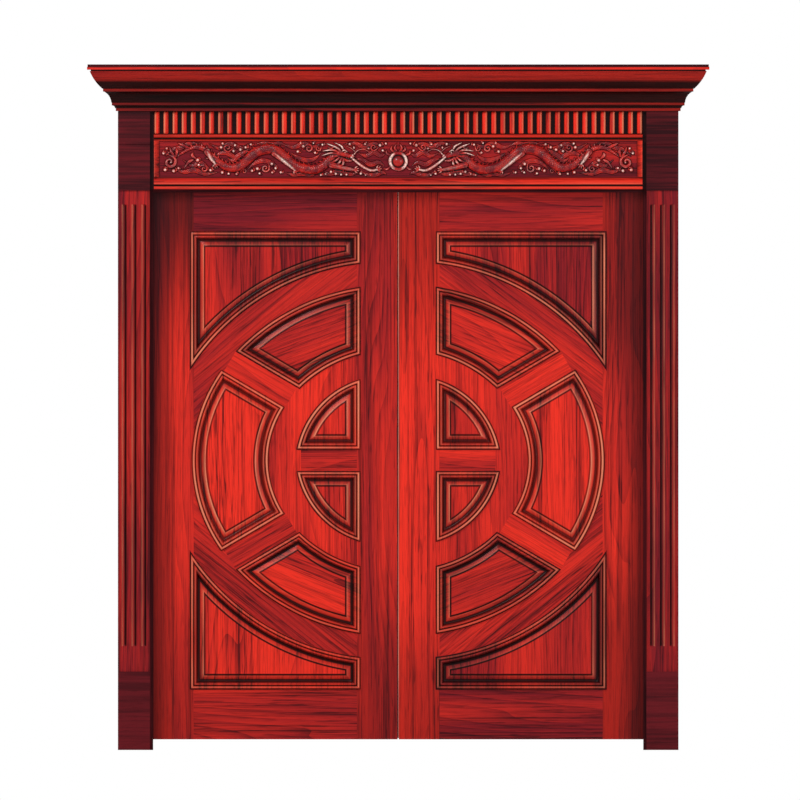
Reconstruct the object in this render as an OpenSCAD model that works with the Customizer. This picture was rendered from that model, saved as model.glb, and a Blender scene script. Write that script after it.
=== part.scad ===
// Carved double door in its frame. Millimetres; the front faces -Y and +Z is up.

/* [Doorway] */
// Clear width between the jamb faces
opening_w = 1862; // [1740:1:2000]
// Height from the floor to the underside of the head
opening_h = 2103; // [2020:1:2300]

/* [Jambs and head] */
// Thickness of the jamb and head section
jamb_t = 45; // [35:1:60]
// Depth of the jamb and head section, front to back
jamb_d = 90; // [84:1:140]
// How far the stop stands into the doorway
stop_w = 12; // [8:1:18]
// Thickness of the stop, front to back
stop_t = 20; // [12:1:30]
// Play between the stop and a closed leaf
stop_play = 1; // [0.5:0.25:3]
// Radius of the fixing holes through the jambs
fixing_r = 5; // [3:0.5:8]
// Spacing of the outer pair of fixing holes in each jamb
fixing_outer = 1300; // [1100:10:1400]
// Spacing of the inner pair of fixing holes in each jamb
fixing_inner = 420; // [300:10:600]

/* [Leaves] */
// Thickness of a leaf
leaf_t = 45; // [40:1:50]
// Gap between a leaf and the jamb or head
leaf_gap = 3; // [2:0.5:4]
// Gap between the two leaves, at the back
meeting_gap = 4; // [3.5:0.5:8]
// Bevel of each meeting edge, taken off at the front
meeting_bevel = 1.5; // [0.5:0.5:3]
// Gap between the floor and the leaves
floor_gap = 40; // [6:1:60]
// Width of the hinge stile up to the panels
hinge_stile_w = 150; // [120:1:170]
// Width of the meeting stile up to the panels
meeting_stile_w = 142; // [120:1:160]
// Height of the top rail down to the panels
top_rail_w = 158; // [130:1:190]
// Height of the bottom rail up to the panels
bottom_rail_w = 190; // [150:1:230]
// Height of the mid rail between the two quarter panels
mid_rail_w = 86; // [60:1:100]
// Thickness of the tenons
tenon_t = 15; // [10:1:18]
// Length of the tenons
tenon_l = 60; // [30:1:80]

/* [Oval pattern] */
// Height of the upper spandrel panel on the middle line of the door
spandrel_h = 106; // [96:1:130]
// Width of the arches between the spandrels and the ring of panels
arch_w = 91; // [75:1:110]
// Width of the ring of panels, shared out with the reach of the quarter panels
ring_w = 242; // [215:1:265]
// Width of the hub around the quarter panels
hub_w = 91; // [75:1:105]
// Reach of the quarter panels from the middle of the ovals, shared out with the ring
quarter_w = 326; // [300:1:350]
// Width of the spokes
spoke_w = 92; // [80:1:105]
// Slope of the spokes
spoke_angle = 30.5; // [28:0.5:34]
// Distance from the ring of panels to the hinge stile
ring_margin = 6; // [4:1:16]

/* [Panels and mouldings] */
// Width of the moulding around a panel
mould_w = 33; // [31:0.5:36]
// How far the moulding lies over the frame of the leaf
seat_w = 11; // [8:0.5:14]
// Depth of the panel edge below the face of the leaf
panel_drop = 7; // [6:0.5:9]
// Width of the two beads of the moulding
bead_w = 10; // [8:0.5:10]
// Rise of the round of a bead
bead_rise = 3; // [2:0.25:3.5]
// Height of the sides of the outer bead above the leaf
bead_h = 7.5; // [6:0.25:9]
// Height of the sides of the inner bead above the quirk
bead_2_h = 2; // [1:0.25:2.5]
// Height of the quirk between the beads
quirk_h = 3; // [2:0.25:4]
// Radius of the hollow of the moulding
cove_r = 9.5; // [8:0.25:10]
// Width of the panel bevel
bevel_w = 18; // [10:0.5:18]
// Rise of the panel bevel
bevel_rise = 6; // [4:0.5:6]
// Height of the flat field above the face of the leaf
field_h = 1; // [0.5:0.25:3]

/* [Pilasters] */
// Width of a pilaster
pilaster_w = 120; // [100:1:150]
// Thickness of a pilaster shaft
pilaster_t = 30; // [24:1:36]
// Number of flutes on a shaft
flutes = 3; // [1:1:3]
// Distance between the flutes
flute_pitch = 37; // [30:1:40]
// Radius of a flute
flute_r = 8; // [5:0.5:10]
// Depth of a flute
flute_d = 5.5; // [3:0.5:8]
// Height of the plinth
plinth_h = 294; // [200:1:400]
// Height of the lower step of the plinth
plinth_step_h = 117; // [60:1:160]
// Height of the capital
capital_h = 298; // [240:1:360]
// Height of the upper step of the capital
capital_step_h = 127; // [60:1:180]
// Thickness of the capital and plinth
block_t = 37; // [36:1:45]
// How far the steps of the capital and plinth stand out
step_out = 4; // [2:0.5:8]

/* [Frieze] */
// Thickness of the frieze board
board_t = 12; // [9:1:14]
// Gap between the frieze frame and the capitals
frieze_gap = 15; // [8:1:30]
// Height of the strip below the carving
frieze_base_h = 45; // [45:1:60]
// Height of the carved field
carving_h = 136; // [130:1:150]
// Height of the strip above the carving
frieze_top_h = 26; // [26:1:40]
// Width of the strips at the ends of the carving
frieze_end_w = 20; // [16:1:30]
// Height of the reed band
reed_h = 86; // [50:1:120]
// Radius of a reed
reed_r = 10; // [6:0.5:12]
// Distance between the reeds
reed_pitch = 34.15; // [28:0.05:50]
// Thickness of the board behind the reeds
reed_board_t = 8; // [6:0.5:9]
// Radius of the pearl
pearl_r = 37; // [25:1:42]
// Height of the carved bodies above the board where they are thickest
body_rise = 18.9; // [12:0.1:24]

/* [Cornice] */
// Height of the cornice up to the cover board
cornice_h = 166; // [160:1:200]
// Thickness of the cover board
cover_t = 9; // [8:1:20]
// Thickness of the foot of the cornice
foot_t = 18; // [12:1:24]

/* [Hinges] */
// Height of a hinge
hinge_h = 125; // [80:1:150]
// Width of a hinge plate
plate_w = 36; // [25:1:38]
// Thickness of a hinge plate
plate_t = 2.5; // [2:0.25:4]
// Radius of the hinge barrel
barrel_r = 7; // [6:0.5:9]
// Radius of the hinge pin
pin_r = 4; // [3:0.25:4.5]
// Distance from the end of a leaf to the middle of its outer hinge
hinge_end = 220; // [150:1:300]

/* [Hidden] */
wood = [0.55, 0.12, 0.1];
dark_wood = [0.3, 0.08, 0.09];
steel = [0.6, 0.58, 0.52];

half_opening = opening_w / 2;
half_outer = half_opening + pilaster_w;
cap_t = block_t + step_out;

leaf_front = jamb_d - leaf_t;
leaf_top = opening_h - leaf_gap;
leaf_edge = half_opening - leaf_gap;
leaf_h = leaf_top - floor_gap;

inner_u = meeting_gap / 2 + meeting_stile_w;
outer_u = leaf_edge - hinge_stile_w;
panel_v = (leaf_h - top_rail_w - bottom_rail_w) / 2;
oval_z = floor_gap + bottom_rail_w + panel_v;

spandrel_b = panel_v - spandrel_h;
ring_b = spandrel_b - arch_w;
// the ring and the quarter panels share the height that the arches and the hub leave them
pattern_share = (ring_b - hub_w) / (ring_w + quarter_w);
ring_in_b = ring_b - ring_w * pattern_share;
quarter_b = quarter_w * pattern_share;
oval_ratio = (outer_u - ring_margin) / ring_b;
split_b = (ring_in_b + ring_b) / 2;
half_spoke = spoke_w / 2;

fit = 0.3;
sink = 0.6;
panel_in = seat_w + fit;
bevel_in = mould_w + 1;
field_in = bevel_in + bevel_w;
bevel_start = bevel_in - 8;
bead_r = (bead_w * bead_w / 4 + bead_rise * bead_rise) / (2 * bead_rise);
bead_2_in = bead_w + 2;

frieze_z = opening_h;
carving_z = frieze_z + frieze_base_h;
frieze_top_z = carving_z + carving_h;
reed_z = frieze_top_z + frieze_top_h;
cornice_z = reed_z + reed_h;
half_frieze = half_opening - frieze_gap;
half_carving = half_frieze - frieze_end_w;
half_reeds = floor((half_frieze - reed_r) / reed_pitch + 0.5);
cornice_out = 116;

hinge_x = half_opening - leaf_gap / 2;
barrel_gap = 0.5;
hinge_y = jamb_d + barrel_gap + barrel_r;
hinge_zs = [floor_gap + hinge_end, floor_gap + leaf_h / 2, leaf_top - hinge_end];
knuckle_h = hinge_h / 5;
fixing_mid = floor_gap + leaf_h / 2;

depth_front = cap_t + cornice_out;
depth_back = hinge_y + barrel_r;
wall_y = (depth_front - depth_back) / 2;
reach = 4000;

// Plane geometry: u runs from the middle of the door to the hinges, v up from the middle of the ovals.
function unit(a) = [cos(a), sin(a)];
function left_of(a) = [-sin(a), cos(a)];
function bearing(p) = atan2(p.y, p.x);

function circle_centre(p, q, r) =
  let (k = 2 * (p.x * (q.y - r.y) + q.x * (r.y - p.y) + r.x * (p.y - q.y)))
  [(p * p * (q.y - r.y) + q * q * (r.y - p.y) + r * r * (p.y - q.y)) / k,
   (p * p * (r.x - q.x) + q * q * (p.x - r.x) + r * r * (q.x - p.x)) / k];

function oval_point(b, t) = [oval_ratio * b * cos(t), b * sin(t)];
function oval_at_u(b, u) = acos(u / (oval_ratio * b));
function oval_at_v(b, v) = asin(v / b);
function oval_at_spoke(b, a, off) =
  let (p = [off * left_of(a).x / oval_ratio, off * left_of(a).y])
  let (d = [cos(a) / oval_ratio, sin(a)])
  let (half = (p * d) / (d * d))
  let (s = -half + sqrt(half * half - (p * p - b * b) / (d * d)))
  bearing(p + s * d);

// An edge is a line or a round of an oval; a panel lies to the left of its edges.
function line_edge(p, a) = ["line", p, a];
function round_edge(b, t0, t1, side) =
  let (p = oval_point(b, t0))
  let (c = circle_centre(p, oval_point(b, (t0 + t1) / 2), oval_point(b, t1)))
  ["round", c, norm(p - c), side];
function moved(e, d) =
  e[0] == "line" ? line_edge(e[1] + d * left_of(e[2]), e[2]) : ["round", e[1], e[2] - e[3] * d, e[3]];
function line_meets_line(a, b) =
  a[1] + unit(a[2]) * cross(b[1] - a[1], unit(b[2])) / cross(unit(a[2]), unit(b[2]));
function line_meets_round(a, b, near) =
  let (d = unit(a[2]))
  let (w = a[1] - b[1])
  let (root = sqrt((w * d) ^ 2 - w * w + b[2] ^ 2))
  let (p = a[1] + d * (root - w * d))
  let (q = a[1] - d * (root + w * d))
  norm(p - near) < norm(q - near) ? p : q;
function corner(a, b, near) =
  a[0] == "line" && b[0] == "line" ? line_meets_line(a, b)
  : a[0] == "line" ? line_meets_round(a, b, near) : line_meets_round(b, a, near);
function before(k, list) = (k + len(list) - 1) % len(list);
function after(k, list) = (k + 1) % len(list);
function panel_corner(panel, k, d) =
  corner(moved(panel[0][before(k, panel[0])], d), moved(panel[0][k], d), panel[1][k]);

// Panels: edges, then the corner before each edge.
function spandrel_panel() =
  let (t0 = oval_at_u(spandrel_b, inner_u))
  let (t1 = oval_at_u(spandrel_b, outer_u))
  [[round_edge(spandrel_b, t1, t0, -1), line_edge([outer_u, 0], 90), line_edge([0, panel_v], 180),
    line_edge([inner_u, 0], -90)],
   [oval_point(spandrel_b, t0), oval_point(spandrel_b, t1), [outer_u, panel_v], [inner_u, panel_v]]];
function fan_panel() =
  let (a = spoke_angle)
  let (t0 = oval_at_u(ring_in_b, inner_u))
  let (t1 = oval_at_spoke(ring_in_b, a, half_spoke))
  let (t2 = oval_at_spoke(ring_b, a, half_spoke))
  let (t3 = oval_at_u(ring_b, inner_u))
  [[round_edge(ring_in_b, t1, t0, -1), line_edge(half_spoke * left_of(a), a),
    round_edge(ring_b, t2, t3, 1), line_edge([inner_u, 0], -90)],
   [oval_point(ring_in_b, t0), oval_point(ring_in_b, t1), oval_point(ring_b, t2), oval_point(ring_b, t3)]];
function ring_panel() =
  let (a = spoke_angle)
  let (t0 = oval_at_spoke(ring_in_b, a, -half_spoke))
  let (t1 = oval_at_spoke(ring_b, a, -half_spoke))
  [[round_edge(ring_in_b, -t0, t0, -1), line_edge(half_spoke * left_of(-a), -a),
    round_edge(ring_b, -t1, t1, 1), line_edge(half_spoke * left_of(a + 180), a + 180)],
   [oval_point(ring_in_b, t0), oval_point(ring_in_b, -t0), oval_point(ring_b, -t1), oval_point(ring_b, t1)]];
function quarter_panel() =
  let (v = mid_rail_w / 2)
  let (t0 = oval_at_v(quarter_b, v))
  let (t1 = oval_at_u(quarter_b, inner_u))
  [[line_edge([0, v], 0), round_edge(quarter_b, t0, t1, 1), line_edge([inner_u, 0], -90)],
   [[inner_u, v], oval_point(quarter_b, t0), oval_point(quarter_b, t1)]];

module half_plane(p, a, d) {
  translate(p)
    rotate(a)
      translate([-reach / 2, d])
        square([reach, reach / 2]);
}

module panel_bounds(panel) {
  us = [for (p = panel[1]) p.x];
  vs = [for (p = panel[1]) p.y];
  translate([min(us) - 100, min(vs) - 100])
    square([max(us) - min(us) + 200, max(vs) - min(vs) + 200]);
}

module panel_area(panel, d) {
  difference() {
    intersection() {
      panel_bounds(panel);
      intersection_for (e = panel[0])
        if (e[0] == "line")
          half_plane(e[1], e[2], d);
        else if (e[3] > 0)
          translate(e[1])
            circle(r = e[2] - d, $fn = 360);
        else
          panel_bounds(panel);
    }
    for (e = panel[0])
      if (e[0] == "round" && e[3] < 0)
        translate(e[1])
          circle(r = e[2] + d, $fn = 360);
  }
}

// Sweeps a section along one edge of a panel: the section's x runs into the panel, its y out of the face.
module along_edge(panel, k) {
  e = panel[0][k];
  p = panel_corner(panel, k, 0);
  q = panel_corner(panel, after(k, panel[0]), 0);
  if (e[0] == "line") {
    translate([p.x, p.y, 0])
      rotate([0, 0, e[2]])
        translate([-5, 0, 0])
          rotate([90, 0, 90])
            linear_extrude(norm(q - p) + 10)
              children();
  } else {
    a0 = bearing(p - e[1]);
    a1 = bearing(q - e[1]);
    translate([e[1].x, e[1].y, 0])
      rotate([0, 0, min(a0, a1) - 1])
        rotate_extrude(angle = abs(a1 - a0) + 2, $fn = 360)
          translate([e[2], 0])
            mirror([e[3] > 0 ? 1 : 0, 0])
              children();
  }
}

module bead_section(d, h) {
  translate([d, 1])
    square([bead_w, h - 1]);
  intersection() {
    translate([d, h - 0.5])
      square([bead_w, bead_rise + 1]);
    translate([d + bead_w / 2, h + bead_rise - bead_r])
      circle(r = bead_r, $fn = 48);
  }
}

module mould_section() {
  difference() {
    polygon([[0, 0], [panel_in + sink, 0], [panel_in + sink, -panel_drop - sink],
             [mould_w, -panel_drop - sink], [mould_w, quirk_h], [0, quirk_h]]);
    translate([mould_w, quirk_h])
      circle(r = cove_r, $fn = 32);
  }
  bead_section(0, bead_h);
  bead_section(bead_2_in, quirk_h + bead_2_h);
}

module mitred_run(panel, k) {
  n = after(k, panel[0]);
  p = panel_corner(panel, k, 0);
  q = panel_corner(panel, n, 0);
  p_in = panel_corner(panel, k, mould_w);
  q_in = panel_corner(panel, n, mould_w);
  intersection() {
    along_edge(panel, k)
      mould_section();
    translate([0, 0, -50])
      linear_extrude(100)
        intersection() {
          half_plane(p, bearing(p_in - p) + 180, 0.05);
          half_plane(q, bearing(q_in - q), 0.05);
        }
  }
}

module raised_field(panel) {
  difference() {
    translate([0, 0, -panel_drop - sink])
      linear_extrude(panel_drop + sink + field_h)
        panel_area(panel, bevel_in - 5);
    for (k = [0 : len(panel[0]) - 1])
      along_edge(panel, k)
        polygon([[bevel_start, -panel_drop - 8 * bevel_rise / bevel_w], [field_in, bevel_rise - panel_drop],
                 [field_in, field_h + 2], [bevel_start, field_h + 2]]);
  }
}

module panel_face(panel) {
  raised_field(panel);
  for (k = [0 : len(panel[0]) - 1])
    mitred_run(panel, k);
}

module panel_solid(panel) {
  translate([0, 0, panel_drop - leaf_t])
    linear_extrude(leaf_t - 2 * panel_drop)
      panel_area(panel, panel_in);
  panel_face(panel);
  translate([0, 0, -leaf_t])
    mirror([0, 0, 1])
      panel_face(panel);
}

// Placing.
module placed() {
  translate([0, wall_y, 0])
    children();
}

module on_side(side) {
  if (side < 0)
    mirror([1, 0, 0])
      children();
  else
    children();
}

module in_leaf(side) {
  placed()
    on_side(side)
      translate([0, leaf_front, oval_z])
        rotate([90, 0, 0])
          children();
}

module flipped(upper) {
  mirror([0, upper ? 0 : 1, 0])
    children();
}

// Frame of a leaf, drawn flat with its face at zero height.
module leaf_plate() {
  translate([0, 0, -leaf_t])
    linear_extrude(leaf_t)
      children();
}

stile_in = inner_u + seat_w;
stile_out = outer_u - seat_w;
rail_v = panel_v - seat_w;
leaf_v0 = floor_gap - oval_z;
leaf_v1 = leaf_top - oval_z;

module tenon(u, v0, v1, length, play) {
  translate([u - play, v0 - play, -leaf_t / 2 - tenon_t / 2 - play])
    cube([length + 2 * play, v1 - v0 + 2 * play, tenon_t + 2 * play]);
}

module rail_tenons(play) {
  for (u = [stile_in - tenon_l, stile_out]) {
    tenon(u, rail_v + 25, leaf_v1 - 45, tenon_l, play);
    tenon(u, leaf_v0 + 45, -rail_v - 25, tenon_l, play);
  }
}

module mid_tenon(play) {
  tenon(stile_in - tenon_l, 15 - mid_rail_w / 2, mid_rail_w / 2 - 15, tenon_l, play);
}

module hinge_stile(side) {
  color(wood)
    in_leaf(side)
      difference() {
        leaf_plate()
          translate([stile_out, leaf_v0])
            square([leaf_edge - stile_out, leaf_h]);
        rail_tenons(0.2);
        for (z = hinge_zs)
          translate([leaf_edge - plate_t - 0.2, z - oval_z - hinge_h / 2 - fit, -leaf_t - 1])
            cube([plate_t + 1, hinge_h + 2 * fit, plate_w + fit + 1]);
      }
}

module meeting_stile(side) {
  color(wood)
    in_leaf(side)
      difference() {
        translate([0, leaf_v0, 0])
          rotate([-90, 0, 0])
            linear_extrude(leaf_h)
              polygon([[meeting_gap / 2 + meeting_bevel, 0], [stile_in, 0], [stile_in, leaf_t],
                       [meeting_gap / 2, leaf_t]]);
        rail_tenons(0.2);
        mid_tenon(0.2);
      }
}

module end_rail(side, upper) {
  v0 = upper ? rail_v : leaf_v0;
  v1 = upper ? leaf_v1 : -rail_v;
  t0 = upper ? rail_v + 25 : leaf_v0 + 45;
  t1 = upper ? leaf_v1 - 45 : -rail_v - 25;
  color(wood)
    in_leaf(side) {
      leaf_plate()
        translate([stile_in, v0])
          square([stile_out - stile_in, v1 - v0]);
      tenon(stile_in - tenon_l, t0, t1, stile_out - stile_in + 2 * tenon_l, 0);
    }
}

spoke_in = min(
  panel_corner(fan_panel(), 1, seat_w) * unit(spoke_angle),
  panel_corner(ring_panel(), 0, seat_w) * unit(spoke_angle));
spoke_out = max(
  panel_corner(fan_panel(), 2, seat_w) * unit(spoke_angle),
  panel_corner(ring_panel(), 3, seat_w) * unit(spoke_angle));
mid_out = panel_corner(quarter_panel(), 1, seat_w).x;

module spoke_area() {
  rotate(spoke_angle)
    translate([spoke_in, -half_spoke - seat_w])
      square([spoke_out - spoke_in, spoke_w + 2 * seat_w]);
}

// Parts the hub from the arches, all of it behind the ring of panels and the spokes.
module split_area() {
  polygon([for (t = [0 : 15 : 345]) oval_point(split_b, t)]);
}

module mid_area() {
  translate([stile_in, -mid_rail_w / 2 - seat_w])
    square([mid_out - stile_in, mid_rail_w + 2 * seat_w]);
}

module arch(side, upper) {
  color(wood)
    in_leaf(side)
      flipped(upper)
        leaf_plate()
          difference() {
            translate([stile_in, 0])
              square([stile_out - stile_in, rail_v]);
            panel_area(spandrel_panel(), seat_w);
            panel_area(fan_panel(), seat_w);
            panel_area(ring_panel(), seat_w);
            split_area();
            spoke_area();
          }
}

module spoke(side, upper) {
  color(wood)
    in_leaf(side)
      flipped(upper)
        leaf_plate()
          spoke_area();
}

module hub(side) {
  color(wood)
    in_leaf(side)
      leaf_plate()
        difference() {
          intersection() {
            split_area();
            half_plane([stile_in, 0], -90, 0);
          }
          panel_area(ring_panel(), seat_w);
          mid_area();
          for (m = [0, 1])
            mirror([0, m]) {
              panel_area(fan_panel(), seat_w);
              panel_area(quarter_panel(), seat_w);
              spoke_area();
            }
        }
}

module mid_rail(side) {
  color(wood)
    in_leaf(side) {
      leaf_plate()
        mid_area();
      tenon(stile_in - tenon_l, 15 - mid_rail_w / 2, mid_rail_w / 2 - 15, tenon_l + 20, 0);
    }
}

module leaf_panel(side, panel, upper = true) {
  color(wood)
    in_leaf(side)
      flipped(upper)
        panel_solid(panel);
}

// Hinges, drawn on the right.
module plate_blank(x, z) {
  translate([x, jamb_d - plate_w, z - hinge_h / 2])
    cube([plate_t, plate_w + barrel_gap + barrel_r, hinge_h]);
}

module knuckles(z, first, r, play) {
  for (k = [first : 2 : 4])
    translate([hinge_x, hinge_y, z - hinge_h / 2 + k * knuckle_h + 0.2 - play])
      cylinder(h = knuckle_h - 0.4 + 2 * play, r = r, $fn = 48);
}

module half_hinge(x, z, first, bore) {
  difference() {
    union() {
      plate_blank(x, z);
      knuckles(z, first, barrel_r, 0);
    }
    knuckles(z, 1 - first, barrel_r + 0.4, 0.2);
    translate([hinge_x, hinge_y, z - hinge_h])
      cylinder(h = 2 * hinge_h, r = bore, $fn = 48);
  }
}

module leaf_hinges(side) {
  color(steel)
    placed()
      on_side(side)
        for (z = hinge_zs)
          half_hinge(leaf_edge - plate_t, z, 1, pin_r + 0.08);
}

module hinge_jamb_plates() {
  color(steel)
    placed()
      for (side = [-1, 1])
        on_side(side)
          for (z = hinge_zs)
            half_hinge(half_opening, z, 0, pin_r + 0.05);
}

module hinge_pins() {
  color(steel)
    placed()
      for (side = [-1, 1], z = hinge_zs)
        translate([side * hinge_x, hinge_y, z - hinge_h / 2]) {
          cylinder(h = hinge_h + 0.3, r = pin_r, $fn = 48);
          translate([0, 0, hinge_h + 0.1])
            cylinder(h = 4, r1 = barrel_r, r2 = barrel_r - 2, $fn = 48);
        }
}

// Jambs and head.
stop_y1 = leaf_front - stop_play;
stop_y0 = stop_y1 - stop_t;

module jamb(side) {
  color(wood)
    placed()
      on_side(side)
        difference() {
          linear_extrude(opening_h)
            polygon([[half_opening, 0], [half_opening + jamb_t, 0], [half_opening + jamb_t, jamb_d],
                     [half_opening, jamb_d], [half_opening, stop_y1], [half_opening - stop_w, stop_y1],
                     [half_opening - stop_w, stop_y0], [half_opening, stop_y0]]);
          for (z = hinge_zs)
            translate([half_opening - 1, jamb_d - plate_w - fit, z - hinge_h / 2 - fit])
              cube([plate_t + 1.2, plate_w + fit + 1, hinge_h + 2 * fit]);
          for (s = [-fixing_outer, -fixing_inner, fixing_inner, fixing_outer])
            translate([half_opening - 1, leaf_front + leaf_t / 2, fixing_mid + s / 2])
              rotate([0, 90, 0])
                cylinder(h = jamb_t + 2, r = fixing_r, $fn = 48);
        }
}

module head_jamb() {
  color(wood)
    placed() {
      translate([-half_opening - jamb_t, 0, opening_h])
        cube([opening_w + 2 * jamb_t, jamb_d, jamb_t]);
      translate([stop_w - half_opening, stop_y0, opening_h - stop_w])
        cube([opening_w - 2 * stop_w, stop_t, stop_w + 1]);
    }
}

// Pilasters.
module flute(z0, z1) {
  end = flute_r * 1.1;
  translate([0, flute_d - flute_r, z0 + end])
    cylinder(h = z1 - z0 - 2 * end, r = flute_r, $fn = 48);
  translate([0, flute_d - flute_r, z1 - end])
    cylinder(h = end, r1 = flute_r, r2 = flute_r * 0.35, $fn = 48);
  translate([0, flute_d - flute_r, z0])
    cylinder(h = end, r1 = flute_r * 0.35, r2 = flute_r, $fn = 48);
}

module pilaster(side) {
  z0 = plinth_h;
  z1 = cornice_z - capital_h;
  color(wood)
    placed()
      on_side(side)
        difference() {
          translate([half_opening, -pilaster_t, z0])
            cube([pilaster_w, pilaster_t, z1 - z0]);
          for (k = [0 : flutes - 1])
            translate([half_opening + pilaster_w / 2, -pilaster_t, 0])
              translate([(k - (flutes - 1) / 2) * flute_pitch, 0, 0])
                flute(z0 + 95, z1 - 52);
        }
}

module block(side, z, h, step) {
  out = step > 0 ? h - step : -step;
  color(dark_wood)
    placed()
      on_side(side)
        translate([half_opening, 0, z])
          rotate([90, 0, 90])
            linear_extrude(pilaster_w)
              polygon(step > 0
                ? [[0, 0], [-block_t, 0], [-block_t, out], [-cap_t, out + step_out], [-cap_t, h], [0, h]]
                : [[0, 0], [-cap_t, 0], [-cap_t, out - step_out], [-block_t, out], [-block_t, h], [0, h]]);
}

// Cornice: x runs outwards from the face of the capitals, y upwards.
module cornice_section() {
  low = circle_centre([25, 32], [33, 56], [52, 73]);
  round = circle_centre([61, 86], [89, 118], [106, cornice_h - 16]);
  difference() {
    polygon([[-foot_t, 0], [8, 0], [8, 11], [21, 11], [21, 21], [23, 21], [23, 32], [52, 32], [52, 73],
             [56, 73], [56, 84], [45, 86], [45, 110], [0, 60], [-foot_t, 30]]);
    translate([21, 11])
      circle(r = 10, $fn = 48);
    translate(low)
      circle(r = norm(low - [25, 32]), $fn = 96);
  }
  intersection() {
    polygon([[20, 80], [140, 86], [140, cornice_h - 16], [75, cornice_h - 16], [40, 105]]);
    translate(round)
      circle(r = norm(round - [61, 86]), $fn = 360);
  }
  polygon([[72, cornice_h - 18], [102, cornice_h - 18], [102, cornice_h - 11], [cornice_out, cornice_h - 11],
           [cornice_out, cornice_h], [72, cornice_h]]);
}

module cornice_front() {
  far = cornice_out + 20;
  color(wood)
    placed()
      intersection() {
        translate([0, -cap_t, cornice_z])
          mirror([0, 1, 0])
            rotate([90, 0, 90])
              linear_extrude(2 * (half_outer + far), center = true)
                cornice_section();
        translate([0, 0, cornice_z - 1])
          linear_extrude(cornice_h + 2)
            polygon([[cap_t - half_outer, 0], [half_outer - cap_t, 0], [half_outer + far, -cap_t - far],
                     [-half_outer - far, -cap_t - far]]);
      }
}

module cornice_return(side) {
  far = cornice_out + 20;
  color(wood)
    placed()
      on_side(side)
        intersection() {
          translate([half_outer, 0, cornice_z])
            rotate([90, 0, 0])
              linear_extrude(cap_t + far)
                cornice_section();
          translate([0, 0, cornice_z - 1])
            linear_extrude(cornice_h + 2)
              polygon([[half_outer - cap_t, 0], [half_outer + far, 0], [half_outer + far, -cap_t - far]]);
        }
}

module cornice_cover() {
  out = cornice_out - 2;
  color(dark_wood)
    placed()
      translate([-half_outer - out, -cap_t - out, cornice_z + cornice_h])
        cube([2 * (half_outer + out), cap_t + out, cover_t]);
}

// Frieze.
module frieze_board() {
  color(dark_wood)
    placed()
      translate([-half_opening, -board_t, frieze_z])
        cube([opening_w, board_t, cornice_z - frieze_z]);
}

module reed_band() {
  front = board_t + reed_board_t;
  color(wood)
    placed()
      intersection() {
        translate([0, -front, reed_z])
          linear_extrude(reed_h)
            union() {
              translate([-half_frieze, 0])
                square([2 * half_frieze, reed_board_t]);
              for (k = [0 : half_reeds - 1], s = [-1, 1])
                translate([s * (k + 0.5) * reed_pitch, 0])
                  circle(r = reed_r, $fn = 32);
            }
        translate([0, 0, reed_z])
          rotate([90, 0, 90])
            linear_extrude(2 * half_opening, center = true)
              polygon([[-board_t, 0], [-front - 2, 0], [-front - reed_r - 1, reed_r - 1],
                       [-front - reed_r - 1, reed_h - reed_r + 1], [-front - 2, reed_h], [-board_t, reed_h]]);
      }
}

module long_strip(z) {
  placed()
    translate([0, -board_t, z])
      mirror([0, 1, 0])
        rotate([90, 0, 90])
          linear_extrude(2 * half_frieze, center = true)
            children();
}

module frieze_base() {
  h = frieze_base_h;
  color(wood)
    long_strip(frieze_z)
      polygon([[0, 0], [16, 0], [16, 10], [10, 12], [10, 17], [25, 18], [25, 21], [8, h - 3], [8, h], [0, h]]);
}

module frieze_top() {
  h = frieze_top_h;
  color(wood)
    long_strip(frieze_top_z)
      polygon([[0, 0], [8, 0], [8, 4], [4, 6], [4, 11], [15, 13], [15, h - 3], [12, h], [0, h]]);
}

module frieze_end(side) {
  w = frieze_end_w;
  color(wood)
    placed()
      on_side(side)
        translate([half_carving, -board_t, carving_z])
          mirror([0, 1, 0])
            linear_extrude(carving_h)
              polygon([[0, 0], [0, 6], [3, 8], [w - 3, 20], [w, 20], [w, 0]]);
}

// Carving: drawn flat on the board, s outwards from the pearl, t upwards, the tail first.
spine = [
  [836, 4], [812, 22], [780, 40], [750, 44], [722, 34], [700, 13], [676, -9], [648, -27],
  [616, -33], [586, -21], [560, 3], [530, 27], [496, 38], [462, 34], [436, 17], [412, -5],
  [384, -26], [350, -37], [312, -38], [282, -25], [258, -3], [238, 14], [214, 21]
];
girth = [3, 5, 7, 9, 10, 11, 12, 14, 15, 16, 17, 18, 18, 17.5, 17, 17, 17, 17, 17, 16, 15, 14, 13];

// The carving was laid out for a field of 1792 by 136 and stretches with it.
carving_scale = carving_h / 136;
function fitted(p) = [p.x * half_carving / 896, p.y * carving_scale];
function spline(list, x) =
  let (k = min(floor(x), len(list) - 2))
  let (f = x - k)
  let (a = list[max(k - 1, 0)])
  let (b = list[k])
  let (c = list[k + 1])
  let (d = list[min(k + 2, len(list) - 1)])
  b + f / 2 * (c - a + f * (2 * a - 5 * b + 4 * c - d + f * (3 * b - a - 3 * c + d)));
function heading(list, x) =
  bearing(spline(list, min(x + 0.05, len(list) - 1)) - spline(list, max(x - 0.05, 0)));

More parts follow.
